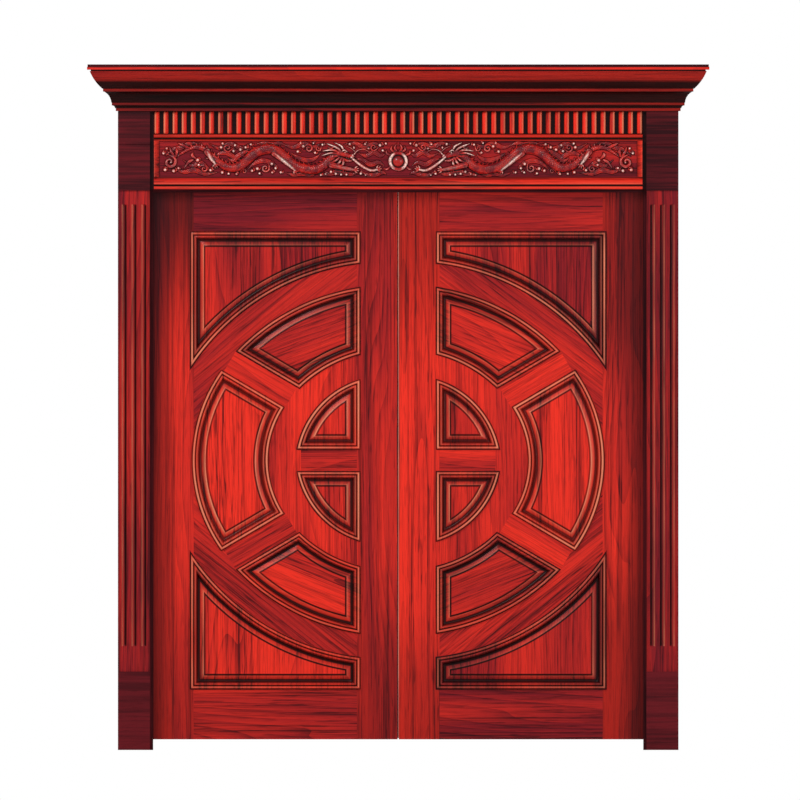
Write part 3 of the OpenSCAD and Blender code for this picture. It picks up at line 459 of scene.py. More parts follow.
class Outlines:
    """Outlines of the panels in a leaf: real runs out to the hinges, imaginary up from the middle of the ovals."""

    def __init__(self):
        s = self.sizes = bpy.context.scene.carved_door_sizes
        self.outer_b = s.panel_v - s.spandrel_h
        self.ring_b = self.outer_b - s.arch_w
        self.hub_b = self.ring_b - s.ring_w
        self.quarter_b = self.hub_b - s.hub_w
        self.ratio = s.ring_u / self.ring_b
        self.slope = cmath.rect(1.0, s.spoke_angle)
        self.off = s.spoke_w / 2

    def at(self, b, t):
        """Point at the angle t on the oval of half height b."""
        return complex(self.ratio * b * math.cos(t), b * math.sin(t))

    def at_u(self, b, u):
        """Angle at which an oval is u out from the middle of the door."""
        return math.acos(u / (self.ratio * b))

    def at_spoke(self, b, off):
        """Angle at which an oval meets a line beside the middle line of the spoke."""
        p = 1j * self.slope * off
        p = complex(p.real / self.ratio, p.imag)
        d = complex(self.slope.real / self.ratio, self.slope.imag)
        half = (p.conjugate() * d).real / abs(d) ** 2
        return cmath.phase(p + d * (math.sqrt(half * half - (abs(p) ** 2 - b * b) / abs(d) ** 2) - half))

    def arc(self, b, t0, t1, side):
        """Stretch of an oval as the circle through its ends and its middle."""
        p, q, r = (self.at(b, t) for t in (t0, (t0 + t1) / 2, t1))
        centre = centre_of(p, q, r)
        return Round(centre, abs(p - centre), side)

    def spandrel(self):
        s, b = self.sizes, self.outer_b
        t0, t1 = self.at_u(b, s.inner_u), self.at_u(b, s.outer_u)
        return ([self.arc(b, t1, t0, -1), Straight(complex(s.outer_u, 0), 1j),
                 Straight(complex(0, s.panel_v), -1), Straight(complex(s.inner_u, 0), -1j)],
                [self.at(b, t0), self.at(b, t1), complex(s.outer_u, s.panel_v), complex(s.inner_u, s.panel_v)])

    def fan(self):
        u, hub, ring = self.sizes.inner_u, self.hub_b, self.ring_b
        t0, t1 = self.at_u(hub, u), self.at_spoke(hub, self.off)
        t2, t3 = self.at_spoke(ring, self.off), self.at_u(ring, u)
        return ([self.arc(hub, t1, t0, -1), Straight(1j * self.slope * self.off, self.slope),
                 self.arc(ring, t2, t3, 1), Straight(complex(u, 0), -1j)],
                [self.at(hub, t0), self.at(hub, t1), self.at(ring, t2), self.at(ring, t3)])

    def ring(self):
        hub, ring = self.hub_b, self.ring_b
        t0, t1 = self.at_spoke(hub, -self.off), self.at_spoke(ring, -self.off)
        down = self.slope.conjugate()
        return ([self.arc(hub, -t0, t0, -1), Straight(1j * down * self.off, down),
                 self.arc(ring, -t1, t1, 1), Straight(-1j * self.slope * self.off, -self.slope)],
                [self.at(hub, t0), self.at(hub, -t0), self.at(ring, -t1), self.at(ring, t1)])

    def quarter(self):
        u, v, b = self.sizes.inner_u, self.sizes.mid_rail_w / 2, self.quarter_b
        t0, t1 = math.asin(v / b), self.at_u(b, u)
        return ([Straight(complex(0, v), 1), self.arc(b, t0, t1, 1), Straight(complex(u, 0), -1j)],
                [complex(u, v), self.at(b, t0), self.at(b, t1)])


def ring_at(outline, inset):
    """Points of a panel outline moved inwards."""
    sides = [side.moved(inset) for side in outline[0]]
    corners = [meeting(sides[k - 1], sides[k], near) for k, near in enumerate(outline[1])]
    return [p for k, side in enumerate(sides) for p in side.run(corners[k], corners[(k + 1) % len(corners)])]


def side_share(loop):
    """How far the outward direction at each point of a loop turns to the side, from -1 to 1."""
    runs = [b - a for a, b in zip(loop[-1:] + loop[:-1], loop[1:] + loop[:1])]
    return [(-1j * run).real / abs(run) for run in runs]


def moulding_profile(s):
    """Inset, height, share of dark glazing with painted shade and share of rubbing with painted highlight, from a
    painted shadow line on the leaf outside the moulding to the raised field.
    """
    w = s.bead_w
    quirk = 3 * MM
    sag = 3.6 * MM
    # The first rows are a thin sheet on the leaf outside the bead, painted dark as a shadow line.
    rows = [(-4.2 * MM, 0.06 * MM, 0.0, 0.0), (-3.0 * MM, 0.1 * MM, 0.75, 0.0), (-1.8 * MM, 0.14 * MM, 1.0, 0.0),
            (0.0, 0.16 * MM, 1.0, 0.0), (0.0, s.bead_top * 0.4, 1.0, 0.0), (0.0, s.bead_top * 0.62, 0.8, 0.0)]

    def bead(start, top, glaze_and_shade, rub_and_highlight):
        """A round bead, darker with painted shade at its sides, rubbed and given a painted highlight on top."""
        for k in range(9):
            a = math.pi * (0.06 + 0.88 * k / 8)
            c = abs(math.cos(a))
            rows.append((start + w / 2 * (1 - math.cos(a)), top - sag * (1 - math.sin(a)),
                         glaze_and_shade + (0.95 - glaze_and_shade) * c ** 2.2, rub_and_highlight * (1 - c ** 1.2)))

    bead(0.0, s.bead_top, 0.0, 1.0)
    rows += [(w, s.bead_top * 0.55, 1.0, 0.0), (w, quirk, 1.0, 0.0), (w + 2 * MM, quirk, 1.0, 0.0)]
    bead(w + 2 * MM, s.inner_bead_top, 0.22, 0.25)
    rows += [(2 * w + 2 * MM, quirk, 0.9, 0.0)]
    for k in range(8):
        a = math.pi / 2 * k / 7
        rows.append((s.mould_w - s.cove_r * math.cos(a), quirk - s.cove_r * math.sin(a),
                     min(1.0, 0.55 + 0.16 * k), 0.0))
    start, end = s.mould_w + MM, s.mould_w + MM + s.bevel_w
    rows += [(s.mould_w, -s.panel_drop, 1.0, 0.0), (start, -s.panel_drop, 1.0, 0.0)]
    rise = 6 * MM
    # A painted highlight runs near the top of the bevel, and a painted shadow line where it meets the field.
    for t, glaze_and_shade, rub_and_highlight in ((0.05, 0.85, 0.0), (0.16, 0.35, 0.0), (0.34, 0.12, 0.1), (0.6, 0.06, 0.2), (0.8, 0.0, 0.6),
                          (0.88, 0.6, 0.1), (0.94, 1.0, 0.0)):
        rows.append((start + s.bevel_w * t, rise * t - s.panel_drop, glaze_and_shade, rub_and_highlight))
    rows += [(end, rise - s.panel_drop, 1.0, 0.0), (end, s.field_h - 0.5 * MM, 1.0, 0.0),
             (end + 0.5 * MM, s.field_h, 1.0, 0.0), (end + 2.8 * MM, s.field_h, 1.0, 0.0),
             (end + 4.0 * MM, s.field_h, 0.3, 0.0), (end + 6.0 * MM, s.field_h, 0.0, 0.0)]
    return rows


def leaf_heading(heading, side):
    """The run of the grain in a leaf: level and upright are alike in both, a slope is mirrored."""
    return heading if heading in (0, 90) else heading * side


class CARVEDDOOR_OT_leaf_panels(bpy.types.Operator):
    """Raised panels of both leaves with their mouldings, on both faces"""

    bl_idname = "carved_door.leaf_panels"
    bl_label = "Leaf Panels"

    def execute(self, context):
        sizes = context.scene.carved_door_sizes
        outlines = Outlines()
        profile = moulding_profile(sizes)
        seat = 11.3 * MM
        # name, outline, up or down, run of the grain, wear and painted highlight of the edges, tones in the left and
        # right leaf
        panels = [
            ("upper_spandrel", outlines.spandrel(), 1, 90, 1.0, 0.4, 0.5),
            ("upper_fan", outlines.fan(), 1, -22, 1.0, 0.15, 0.05),
            ("upper_quarter", outlines.quarter(), 1, 90, 1.3, 0.12, 0.3),
            ("ring_panel", outlines.ring(), 1, 90, 1.6, -0.42, 0.02),
            ("lower_quarter", outlines.quarter(), -1, 90, 1.2, 0.1, 0.2),
            ("lower_fan", outlines.fan(), -1, 22, 0.7, 0.05, 0.22),
            ("lower_spandrel", outlines.spandrel(), -1, 90, 0.7, -0.12, 0.45),
        ]
        rows = [(d, LEAF_FRONT - z, g, r) for d, z, g, r in reversed(profile)]
        rows += [(seat, LEAF_FRONT - 0.04 * MM, 1.0, 0.0), (seat, LEAF_BACK + 0.04 * MM, 1.0, 0.0)]
        rows += [(d, LEAF_BACK + z, g, r) for d, z, g, r in profile]
        bevel = sizes.mould_w + MM
        for hand, side in SIDES.items():
            for number, (name, outline, up, heading, wear_and_highlight, *tones) in enumerate(panels):
                points, glaze_and_shade, rub_and_highlight, loops = [], [], [], []
                outward = side_share(ring_at(outline, 0.0))
                glaze_and_shade_level = 1.08 - 0.14 * wear_and_highlight
                for d, y, g, r in rows:
                    loop = ring_at(outline, d)
                    loops.append(loop)
                    points += [(side * p.real, y, OVAL_Z + up * p.imag) for p in loop]
                    # On the bevels and the field, sides facing the hinges get a painted highlight and less painted
                    # shade, and level bevels a painted shade; the rubbing with its painted highlight is stronger on
                    # upright sides than on level ones.
                    lit = [max(0.0, n) ** 2 if d > bevel else 0.0 for n in outward]
                    bevel_shade = 0.2 if bevel < d < bevel + sizes.bevel_w else 0.0
                    glaze_and_shade += [glaze_and_shade_level * (g * (1 - 0.3 * k) + bevel_shade * (1 - abs(n))) for k, n in zip(lit, outward)]
                    rub_and_highlight += [r * wear_and_highlight * (0.5 + 0.9 * abs(n) ** 1.5) * (1 + 0.6 * k) for k, n in zip(lit, outward)]
                node = f"{hand}_{name}"
                material = lacquered_wood(f"{node}_wood", leaf_heading(heading, side),
                                          5.0 + number + 11.0 * (side > 0), tones[side > 0])
                piece(f"{node}_moulded", points, bands(loops), material, f"{hand}_leaf",
                      {"glaze_and_shade": glaze_and_shade, "rub_and_highlight": rub_and_highlight}, (node,), flip=side * up > 0)
        return {"FINISHED"}


class CARVEDDOOR_OT_leaf_framing(bpy.types.Operator):
    """Stiles, rails, arches, spokes and hubs of both leaves"""

    bl_idname = "carved_door.leaf_framing"
    bl_label = "Leaf Framing"

    def execute(self, context):
        # Painted shadow on the hinge stiles beside the jambs: a soft darkening and a near-black line at the edge.
        jamb_shadow = (("side", 0.80, 0.9, 0.6), ("side", 0.914, 0.921, 0.95))
        # The shades by height make the stiles darker towards the top and the bottom.
        shades = {
            "left_hinge_stile": (*jamb_shadow, ("height", 1.35, 2.05, 0.85), ("height", 0.8, 0.3, 0.2)),
            "right_hinge_stile": (*jamb_shadow, ("height", 1.2, 1.6, 0.5), ("height", 0.85, 0.45, 0.5)),
            "left_meeting_stile": (("height", 1.7, 2.1, 0.35), ("height", 0.8, 0.3, 0.33)),
            "right_meeting_stile": (("height", 1.2, 2.0, 0.52), ("height", 0.6, 0.25, 0.35)),
        }
        # name, run of the grain, tones in the left and right leaf
        plan = [
            ("hinge_stile", 90, 0.32, 0.12), ("meeting_stile", 90, 0.4, -0.2), ("top_rail", 0, 0.78, 0.6),
            ("bottom_rail", 0, 0.28, 0.5), ("mid_rail", 0, 0.2, 0.2), ("hub", 90, 0.22, 0.32),
            ("upper_arch", -38, 0.62, 0.4), ("lower_arch", 38, 0.2, 0.2), ("upper_spoke", 30.5, 0.36, 0.0),
            ("lower_spoke", -30.5, 0.1, 0.15),
        ]
        for hand, side in SIDES.items():
            for number, (name, heading, *tones) in enumerate(plan):
                node = f"{hand}_{name}"
                paint(node, lacquered_wood(f"{node}_wood", leaf_heading(heading, side),
                                           31.0 + 1.3 * number + 7.0 * side, tones[side > 0], shades.get(node, ())))
            self.strip(hand, side)
        return {"FINISHED"}

    def strip(self, hand, side):
        """A thin strip on the edge of each leaf, closing the gap between the leaves."""
        z0, z1 = low(f"{hand}_meeting_stile")[2] + 5 * MM, high(f"{hand}_meeting_stile")[2] - 5 * MM
        x0, x1, y0, y1 = side * 0.1 * MM, side * 3.3 * MM, LEAF_FRONT + 3 * MM, LEAF_FRONT + 5 * MM
        points = [(x, y, z) for z in (z0, z1) for x, y in ((x0, y0), (x1, y0), (x1, y1), (x0, y1))]
        # The strip is painted dark on the left leaf as shade in the gap, and pale on the right leaf as a painted
        # highlight.
        marks = {"glaze_and_shade": [0.95 if side < 0 else 0.0] * 8, "rub_and_highlight": [0.0 if side < 0 else 0.8] * 8}
        piece(f"{hand}_meeting_strip", points, bands([points[:4], points[4:]]),
              lacquered_wood(f"{hand}_strip_wood", 90, 3.0 + side, 0.5), f"{hand}_leaf", marks,
              flip=side < 0)


def rounded_end(start, reach, steps):
    """Places along the rounded end of a flute or reed, each with its share of the full section."""
    turns = [math.pi / 2 * k / steps for k in range(steps + 1)]
    return [(start + reach * (1 - math.cos(a)), math.sin(a)) for a in turns]


class CARVEDDOOR_OT_posts(bpy.types.Operator):
    """Jambs, head, fluted pilasters, plinths and capitals"""

    bl_idname = "carved_door.posts"
    bl_label = "Frame Posts"

    def execute(self, context):
        s = context.scene.carved_door_sizes
        # Jambs and head take the dark wood at a deep tone, partly their own colour and partly painted shade in the
        # reveal.
        shaded = dark_wood("jamb_wood", 90, 3.0, 0.35)
        for node in ("left_jamb", "right_jamb"):
            paint(node, shaded)
        paint("head_jamb", dark_wood("head_wood", 0, 4.0, 0.35))
        for block, seed, tone in (("plinth", 8.0, -0.1), ("capital", 15.0, 0.3)):
            wood = dark_wood(f"{block}_wood", 0, seed, tone)
            for hand in SIDES:
                paint(f"{hand}_{block}", wood)
        shaft = lacquered_wood("pilaster_wood", 90, 71.0, 0.68, (), 0.75)
        for hand, side in SIDES.items():
            self.pilaster(s, hand, side, shaft)
        return {"FINISHED"}

    def pilaster(self, s, hand, side, material):
        """A shaft with three flutes, rounded at their ends; rows of its section are x, y, depth, share of glazing
        with painted shade and share of painted highlight.
        """
        node = f"{hand}_pilaster"
        (x0, front, z0), (x1, back, z1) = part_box(node)
        middle, half = (x0 + x1) / 2, (x1 - x0) / 2
        rest = s.flute_r - s.flute_d
        wide = math.sqrt(s.flute_r ** 2 - rest ** 2)
        arris = 0.9 * MM
        # The sides of the shaft are darkened with painted shade.
        edge = [(-half, back, 0, 1.0, 0.0), (-half, front + arris, 0, 0.8, 0.0),
                (-half + arris, front, 0, 0.45, 0.0), (-half + 5 * MM, front, 0, 0.25, 0.0)]
        section = list(edge)
        for k in (-1, 0, 1):
            c = k * s.flute_pitch
            for j in range(-2, 13):
                e = wide * math.sin(math.pi * (min(max(j, 0), 10) / 10 - 0.5))
                depth = max(0.0, math.sqrt(s.flute_r ** 2 - e * e) - rest)
                spread = {-2: -3.2 * MM, -1: -0.6 * MM, 11: 0.6 * MM, 12: 3.2 * MM}.get(j, 0.0)
                # Each flute has a painted highlight on one flank and painted shade on the other, mirrored between
                # the two pilasters.
                t = (j if side < 0 else 10 - j) / 10
                shade = min(0.95, max(0.0, 4.0 * (t - 0.42))) if t < 1.15 else 0.1
                section.append((c + e + spread, front, depth, shade, max(0.0, 1 - abs(t - 0.12) / 0.3)))
        section += [(-x, *others) for x, *others in reversed(edge)]
        beside = 12 * MM
        cut = [min(abs(abs(x) - s.flute_pitch), abs(x)) < beside for x, *_ in section]
        foot, top, end = z0 + 95 * MM, z1 - 52 * MM, 8.8 * MM
        levels = [(z0, 0.0), (foot - 1 * MM, 0.0)] + rounded_end(foot, end, 8)
        levels += [(foot + top - z, deep) for z, deep in reversed(levels[2:])]
        levels += [(top + 1 * MM, 0.0), (z1, 0.0)]
        points, glaze_and_shade, rub_and_highlight, rows = [], [], [], []
        for z, deep in levels:
            row = [(middle + x, y + depth * deep, z) for x, y, depth, g, r in section]
            rows.append(row)
            points += row
            glaze_and_shade += [g * (deep if c else 1.0) for c, (*_, g, r) in zip(cut, section)]
            rub_and_highlight += [r * (min(1.0, deep * 2) if c else 1.0) for c, (*_, r) in zip(cut, section)]
        piece(f"{node}_fluted", points, bands(rows), material, "frame",
              {"glaze_and_shade": glaze_and_shade, "rub_and_highlight": rub_and_highlight}, (node,))


def curve_through(p, q, r, steps):
    """Points on the circle through three points of a section, without the first."""
    p, q, r = complex(*p), complex(*q), complex(*r)
    centre = centre_of(p, q, r)
    turn = cmath.phase((r - centre) / (p - centre)) / steps
    spots = [centre + (p - centre) * cmath.rect(1.0, turn * (k + 1)) for k in range(steps)]
    return [(spot.real, spot.imag) for spot in spots]


def swept(section, place):
    """Points, faces and marks of a section carried along stations; its rows are out, up, share of glazing with
    painted shade and share of rubbing with painted highlight.
    """
    rows = list(zip(*(place(p * MM, h * MM) for p, h, *_ in section)))
    marks = {"glaze_and_shade": [g for *_, g, r in section] * len(rows), "rub_and_highlight": [r for *_, r in section] * len(rows)}
    return [point for row in rows for point in row], bands(rows), marks


class CARVEDDOOR_OT_cornice(bpy.types.Operator):
    """Cornice with its returns, and the cover board"""

    bl_idname = "carved_door.cornice"
    bl_label = "Cornice"

    def execute(self, context):
        foot = low("cornice_front")[2]
        half = high("right_capital")[0]
        front = low("right_capital")[1]
        # out, up and share of dark glazing with painted shade, darkest in the hollows, under the fillets and on the
        # lower part of the ovolo
        outline = [(8, 0, 0.8), (8, 1.5, 0.6), (8, 9, 0.5), (8, 11, 0.7), (11, 11, 1.0)]
        outline += [(*spot, 1.0) for spot in curve_through((11, 11), (13.93, 18.07), (21, 21), 5)]
        outline += [(23, 21, 1.0), (23, 23, 0.8), (23, 26, 0.6), (23, 30, 0.65), (23, 32, 0.8), (25, 32, 1.0)]
        outline += [(*spot, 1.0) for spot in curve_through((25, 32), (33, 56), (52, 73), 12)]
        outline += [(56, 73, 1.0), (56, 75, 0.6), (56, 77, 0.5), (56, 82, 0.5), (56, 84, 0.7), (60, 84.4, 1.0),
                    (61, 86, 1.0)]
        ovolo = curve_through((61, 86), (89, 118), (106, 150), 16)
        outline += [(*spot, min(1.0, max(0.5, 2.1 - 2.8 * k / 16))) for k, spot in enumerate(ovolo, 1)]
        outline += [(105.6, 150.4, 0.6), (102, 150.4, 1.0), (102, 155, 1.0), (115, 155, 0.9), (116, 156, 0.3),
                    (116, 157.5, 0.0), (116, 163, 0.0), (116, 165, 0.6), (115, 166, 0.9), (72, 166, 0.9),
                    (-25, 30, 0.6), (-25, 0, 0.6)]

        def place(p, h):
            x, y, z = half + p, front - p, foot + h
            return [(-x, WALL_Y, z), (-x, y, z), (x, y, z), (x, WALL_Y, z)]

        points, faces, marks = swept([(*row, 0.0) for row in outline], place)
        wood = lacquered_wood("cornice_wood", 0, 91.0, 0.38, (), 0.4, 0.4)
        piece("cornice_moulded", points, faces, wood, "frame", marks,
              ("cornice_front", "cornice_left_return", "cornice_right_return"), 28.0, True)
        paint("cornice_cover", dark_wood("cover_wood", 0, 12.0, 0.5))
        return {"FINISHED"}


class CARVEDDOOR_OT_frieze(bpy.types.Operator):
    """Frieze board, its frame and the band of reeds"""

    bl_idname = "carved_door.frieze"
    bl_label = "Frieze"

    def execute(self, context):
        s = context.scene.carved_door_sizes
        # Painted shadow: the ends of the frieze ground turn near black in the slot beside the capitals.
        ends = (("side", 0.9155, 0.917, 1.0),)
        paint("frieze_board", lacquered_wood("frieze_ground", 0, 21.0, 0.75, ends, 1.0, 0.3))
        wood = lacquered_wood("frieze_frame_wood", 0, 83.0, 0.0, (), 0.5)
        # In these sections the glazing share is painted shade in the hollows and under the fillets, and the rubbing
        # share a painted highlight on the upper edges.
        self.strip("frieze_base", wood, [
            (0, 0, 1, 0), (16, 0, 0.8, 0), (16, 1, 0.2, 0), (16, 9.4, 0.0, 0.4), (15.4, 10.2, 0.3, 0.2),
            (10, 12, 1, 0), (10, 17, 1, 0), (24, 17.8, 0.8, 0), (25, 18.6, 0.2, 0.3), (25, 20.4, 0.0, 0.7),
            (24, 22.5, 0.0, 0.25), (16, 33, 0.05, 0), (9, 41, 0.35, 0), (8, 42.5, 0.9, 0), (8, 45, 0.8, 0),
            (0, 45, 1, 0)])
        self.strip("frieze_top", wood, [
            (0, 0, 1, 0), (8, 0, 0.8, 0), (8, 1, 0.5, 0), (8, 4, 0.45, 0.1), (4, 6, 1, 0), (4, 11, 1, 0),
            (14.2, 12.8, 0.9, 0), (15, 13.8, 0.5, 0), (15, 18, 0.3, 0.1), (15, 22.4, 0.4, 0), (14, 24, 0.7, 0),
            (12, 26, 1, 0), (0, 26, 1, 0)])
        for hand, side in SIDES.items():
            self.end(hand, side, wood)
        self.reeds(s)
        return {"FINISHED"}

    def strip(self, node, material, section):
        x0, x1, z = low(node)[0], high(node)[0], low(node)[2]
        points, faces, marks = swept(section, lambda p, h: [(x, BOARD_FRONT - p, z + h) for x in (x0, x1)])
        piece(f"{node}_moulded", points, faces, material, "frame", marks, (node,), flip=True)

    def end(self, hand, side, material):
        node = f"frieze_{hand}_end"
        inner = min(abs(low(node)[0]), abs(high(node)[0]))
        # The glazing and rubbing shares are painted shade and painted highlight.
        section = [(0, 0, 1, 0), (6, 0, 0.8, 0), (8, 3, 0.5, 0), (19.2, 16.4, 0.0, 0.1), (20, 17.4, 0.0, 0.6),
                   (20, 19.2, 0.1, 0.4), (19, 20, 0.6, 0), (0, 20, 1, 0)]
        levels = (low(node)[2], high(node)[2])
        points, faces, marks = swept(
            section, lambda p, h: [(side * (inner + h), BOARD_FRONT - p, z) for z in levels])
        piece(f"{node}_moulded", points, faces, material, "frame", marks, (node,), flip=side < 0)

    def reeds(self, s):
        (x0, front, z0), (x1, back, z1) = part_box("reed_band")
        board = front + s.reed_r
        edge = 1.2 * MM
        plan = ((x0, back), (x0, board + edge), (x0 + edge, board),
                (x1 - edge, board), (x1, board + edge), (x1, back))
        points = [(x, y, z) for z in (z0, z1) for x, y in plan]
        # The board behind the reeds is painted dark as the shade in the gaps.
        piece("reed_board", points, bands([points[:6], points[6:]]), dark_wood("reed_ground", 0, 41.0, 0.6),
              "frame", {"glaze_and_shade": [0.85] * 12})
        turns = [math.pi * k / 14 for k in range(15)]
        levels = rounded_end(z0 + 0.5 * MM, 8 * MM, 5)
        levels += [(z0 + z1 - z, full) for z, full in reversed(levels)]
        points, faces, glaze_and_shade, rub_and_highlight = [], [], [], []
        for number in range(s.reeds):
            x = (number - (s.reeds - 1) / 2) * s.reed_pitch
            rows = []
            for z, full in levels:
                width = s.reed_r * (0.72 + 0.28 * full)
                rows.append([(x - width * math.cos(a), board - s.reed_r * full * math.sin(a), z) for a in turns])
                # Each reed is painted dark along its sides and ends as shade, and pale along its outer flank as a
                # painted highlight, mirrored at the middle.
                glaze_and_shade += [max(0.0, 1.0 - 1.5 * math.sin(a)) if full > 0.3 else 1.0 for a in turns]
                outer = [a if x < 0 else math.pi - a for a in turns]
                rub_and_highlight += [1.4 * max(0.0, 1 - abs(a - 0.85) / 0.55) * full for a in outer]
            join(points, faces, rows, closed=False)
        wood = lacquered_wood("reed_wood", 90, 47.0, -0.1, (), 1.0, 0.3)
        piece("reeds", points, faces, wood, "frame", {"glaze_and_shade": glaze_and_shade, "rub_and_highlight": rub_and_highlight}, ("reed_band",), 60.0)


def flowing(points, steps):
    """A smooth line through points, given as rows of numbers."""
    rows = np.array(points, float)
    rows = np.vstack((rows[:1], rows, rows[-1:]))
    out = []
    for k in range(1, len(rows) - 2):
        a, b, c, d = rows[k - 1:k + 3]
        for j in range(steps):
            f = j / steps
            out.append(b + f / 2 * (c - a + f * (2 * a - 5 * b + 4 * c - d + f * (3 * b - a - 3 * c + d))))
    out.append(rows[-1])
    return np.array(out)


class Relief:
    """A carved field, worked out as heights over a fine grid, in millimetres."""

    def __init__(self, low_corner, high_corner, step):
        self.s = np.arange(low_corner[0], high_corner[0] + step / 2, step)
        self.t = np.arange(low_corner[1], high_corner[1] + step / 2, step)
        self.h = np.zeros((len(self.s), len(self.t)))
        # Painted highlights, added to the rub mark of the carving.
        self.shine = np.zeros_like(self.h)

    def stroke(self, points, widths, heights, steps=6, texture=None, crown=0.5, grid=None):
        """Raises a rounded stroke along a smooth line with a half width and a height at each point."""
        grid = self.h if grid is None else grid
        path = flowing([(*p, w, h) for p, w, h in zip(points, widths, heights)], steps)
        travelled = 0.0
        for p, q in zip(path[:-1], path[1:]):
            reach = max(p[2], q[2])
            i0, i1 = np.searchsorted(self.s, (min(p[0], q[0]) - reach, max(p[0], q[0]) + reach))
            j0, j1 = np.searchsorted(self.t, (min(p[1], q[1]) - reach, max(p[1], q[1]) + reach))
            d = q[:2] - p[:2]
            size = float(np.hypot(*d))
            if i1 > i0 and j1 > j0 and size > 1e-9:
                ds = self.s[i0:i1, None] - p[0]
                dt = self.t[None, j0:j1] - p[1]
                f = np.clip((ds * d[0] + dt * d[1]) / size ** 2, 0, 1)
                far = np.hypot(ds - f * d[0], dt - f * d[1])
                left = np.sign(d[0] * dt - d[1] * ds)
                share = far / np.maximum(p[2] + (q[2] - p[2]) * f, 1e-6)
                body = np.maximum(0.0, 1 - share ** 2) ** crown
                z = (p[3] + (q[3] - p[3]) * f) * body
                if texture:
                    z = z + texture(travelled + f * size, np.clip(left * share, -1, 1)) * np.minimum(1, 2 * body)
                grid[i0:i1, j0:j1] = np.maximum(grid[i0:i1, j0:j1], z)
            travelled += size

    def ball(self, p, r, h):
        """Raises a dome with a painted highlight on top."""
        far = np.hypot(self.s[:, None] - p[0], self.t[None, :] - p[1]) / r
        self.h = np.maximum(self.h, h * np.maximum(0.0, 1 - far ** 2) ** 0.5 * (far < 1))
        self.shine = np.maximum(self.shine, np.clip(1.2 - 1.9 * far, 0, 0.65))

    def soften(self, grid, times):
        for _ in range(times):
            g = np.pad(grid, 1, mode="edge")
            grid = (g[:-2, 1:-1] + g[2:, 1:-1] + g[1:-1, :-2] + g[1:-1, 2:] + 4 * g[1:-1, 1:-1]) / 8
        return grid

    def carve(self, name, side, rise, material, nodes):
        """Makes the carved piece on the frieze board; rise is the height of the field's middle."""
        thinnest, surface, sunk = 0.35, 0.3, -0.4
        h = self.soften(np.where(self.h > thinnest, self.h, 0.0), 1)
        wide = self.soften(h, 26)
        # Painted shade in the hollows and near the ground, and a painted highlight on the crests and along the shine
        # strokes.
        glaze_and_shade = np.clip((wide - h + 1.0) / 2.4, 0, 1) + np.clip(1 - h / 5.0, 0, 1)
        rub_and_highlight = np.clip((h - wide - 1.4) / 3.2, 0, 1) ** 1.8 * np.clip((h - 3) / 8, 0, 1) + self.shine
        solid = h > surface
        cell = solid[:-1, :-1] | solid[1:, :-1] | solid[:-1, 1:] | solid[1:, 1:]
        used = np.zeros_like(solid)
        for di in (0, 1):
            for dj in (0, 1):
                used[di:used.shape[0] - 1 + di, dj:used.shape[1] - 1 + dj] |= cell
        index = np.cumsum(used).reshape(used.shape) - 1
        i, j = np.nonzero(used)
        height = np.where(solid, h, sunk)[i, j]
        points = np.column_stack((side * self.s[i] * MM, BOARD_FRONT - height * MM, rise + self.t[j] * MM))
        ci, cj = np.nonzero(cell)
        quads = np.column_stack((index[ci, cj], index[ci + 1, cj], index[ci + 1, cj + 1], index[ci, cj + 1]))
        marks = {key: np.clip(grid, 0, 1)[i, j].astype(np.float32) for key, grid in (("glaze_and_shade", glaze_and_shade), ("rub_and_highlight", rub_and_highlight))}
        piece(name, points.tolist(), quads.tolist(), material, "frame", marks, nodes, 180.0, side < 0)


# The right-hand dragon, in millimetres to the side of the door's middle and up from the middle of the frieze.
SPINE = [
    (836, 4), (812, 22), (780, 40), (750, 44), (722, 34), (700, 13), (676, -9), (648, -27),
    (616, -33), (586, -21), (560, 3), (530, 27), (496, 38), (462, 34), (436, 17), (412, -5),
    (384, -26), (350, -37), (312, -38), (282, -25), (258, -3), (238, 14), (214, 21),
]
GIRTH = [3, 5, 7, 9, 10, 11, 12, 14, 15, 16, 17, 18, 18, 17.5, 17, 17, 17, 17, 17, 16, 15, 14, 13]
# Place, start angle and size of each curl of cloud, and place and size of each puff.
CURLS = [
    (856, -11, 90, 25), (728, -36, 40, 15), (640, 42, 200, 17), (578, -46, 20, 10), (498, -34, 150, 16),
    (336, 40, 20, 17), (300, 40, 170, 11), (146, 50, 30, 10), (92, 44, 200, 14),
]
PUFFS = [
    (880, 22, 7), (874, -40, 8), (842, -44, 8), (824, -34, 6), (868, 40, 6), (752, -4, 9), (748, -22, 7),
    (704, -42, 7), (664, 44, 8), (612, 52, 7), (658, 58, 6), (618, 30, 7), (592, 36, 8), (572, 44, 7),
    (552, 55, 6), (660, -50, 7), (636, -55, 6), (606, -56, 6), (548, -44, 7), (528, -36, 8), (520, -54, 6),
    (474, -18, 8), (460, -34, 7), (472, -50, 6), (440, -50, 6), (376, 28, 7), (356, 48, 8), (366, 60, 5),
    (318, 60, 5), (284, 54, 6), (312, 24, 6), (182, 56, 7), (166, 42, 5), (124, 56, 6), (68, 52, 8),
    (112, 40, 5), (58, 32, 6), (46, 58, 5), (140, -54, 7), (122, -60, 5), (252, -48, 7), (234, -55, 7),
    (214, -58, 6), (194, -58, 6), (272, -56, 5), (290, -60, 5),
]
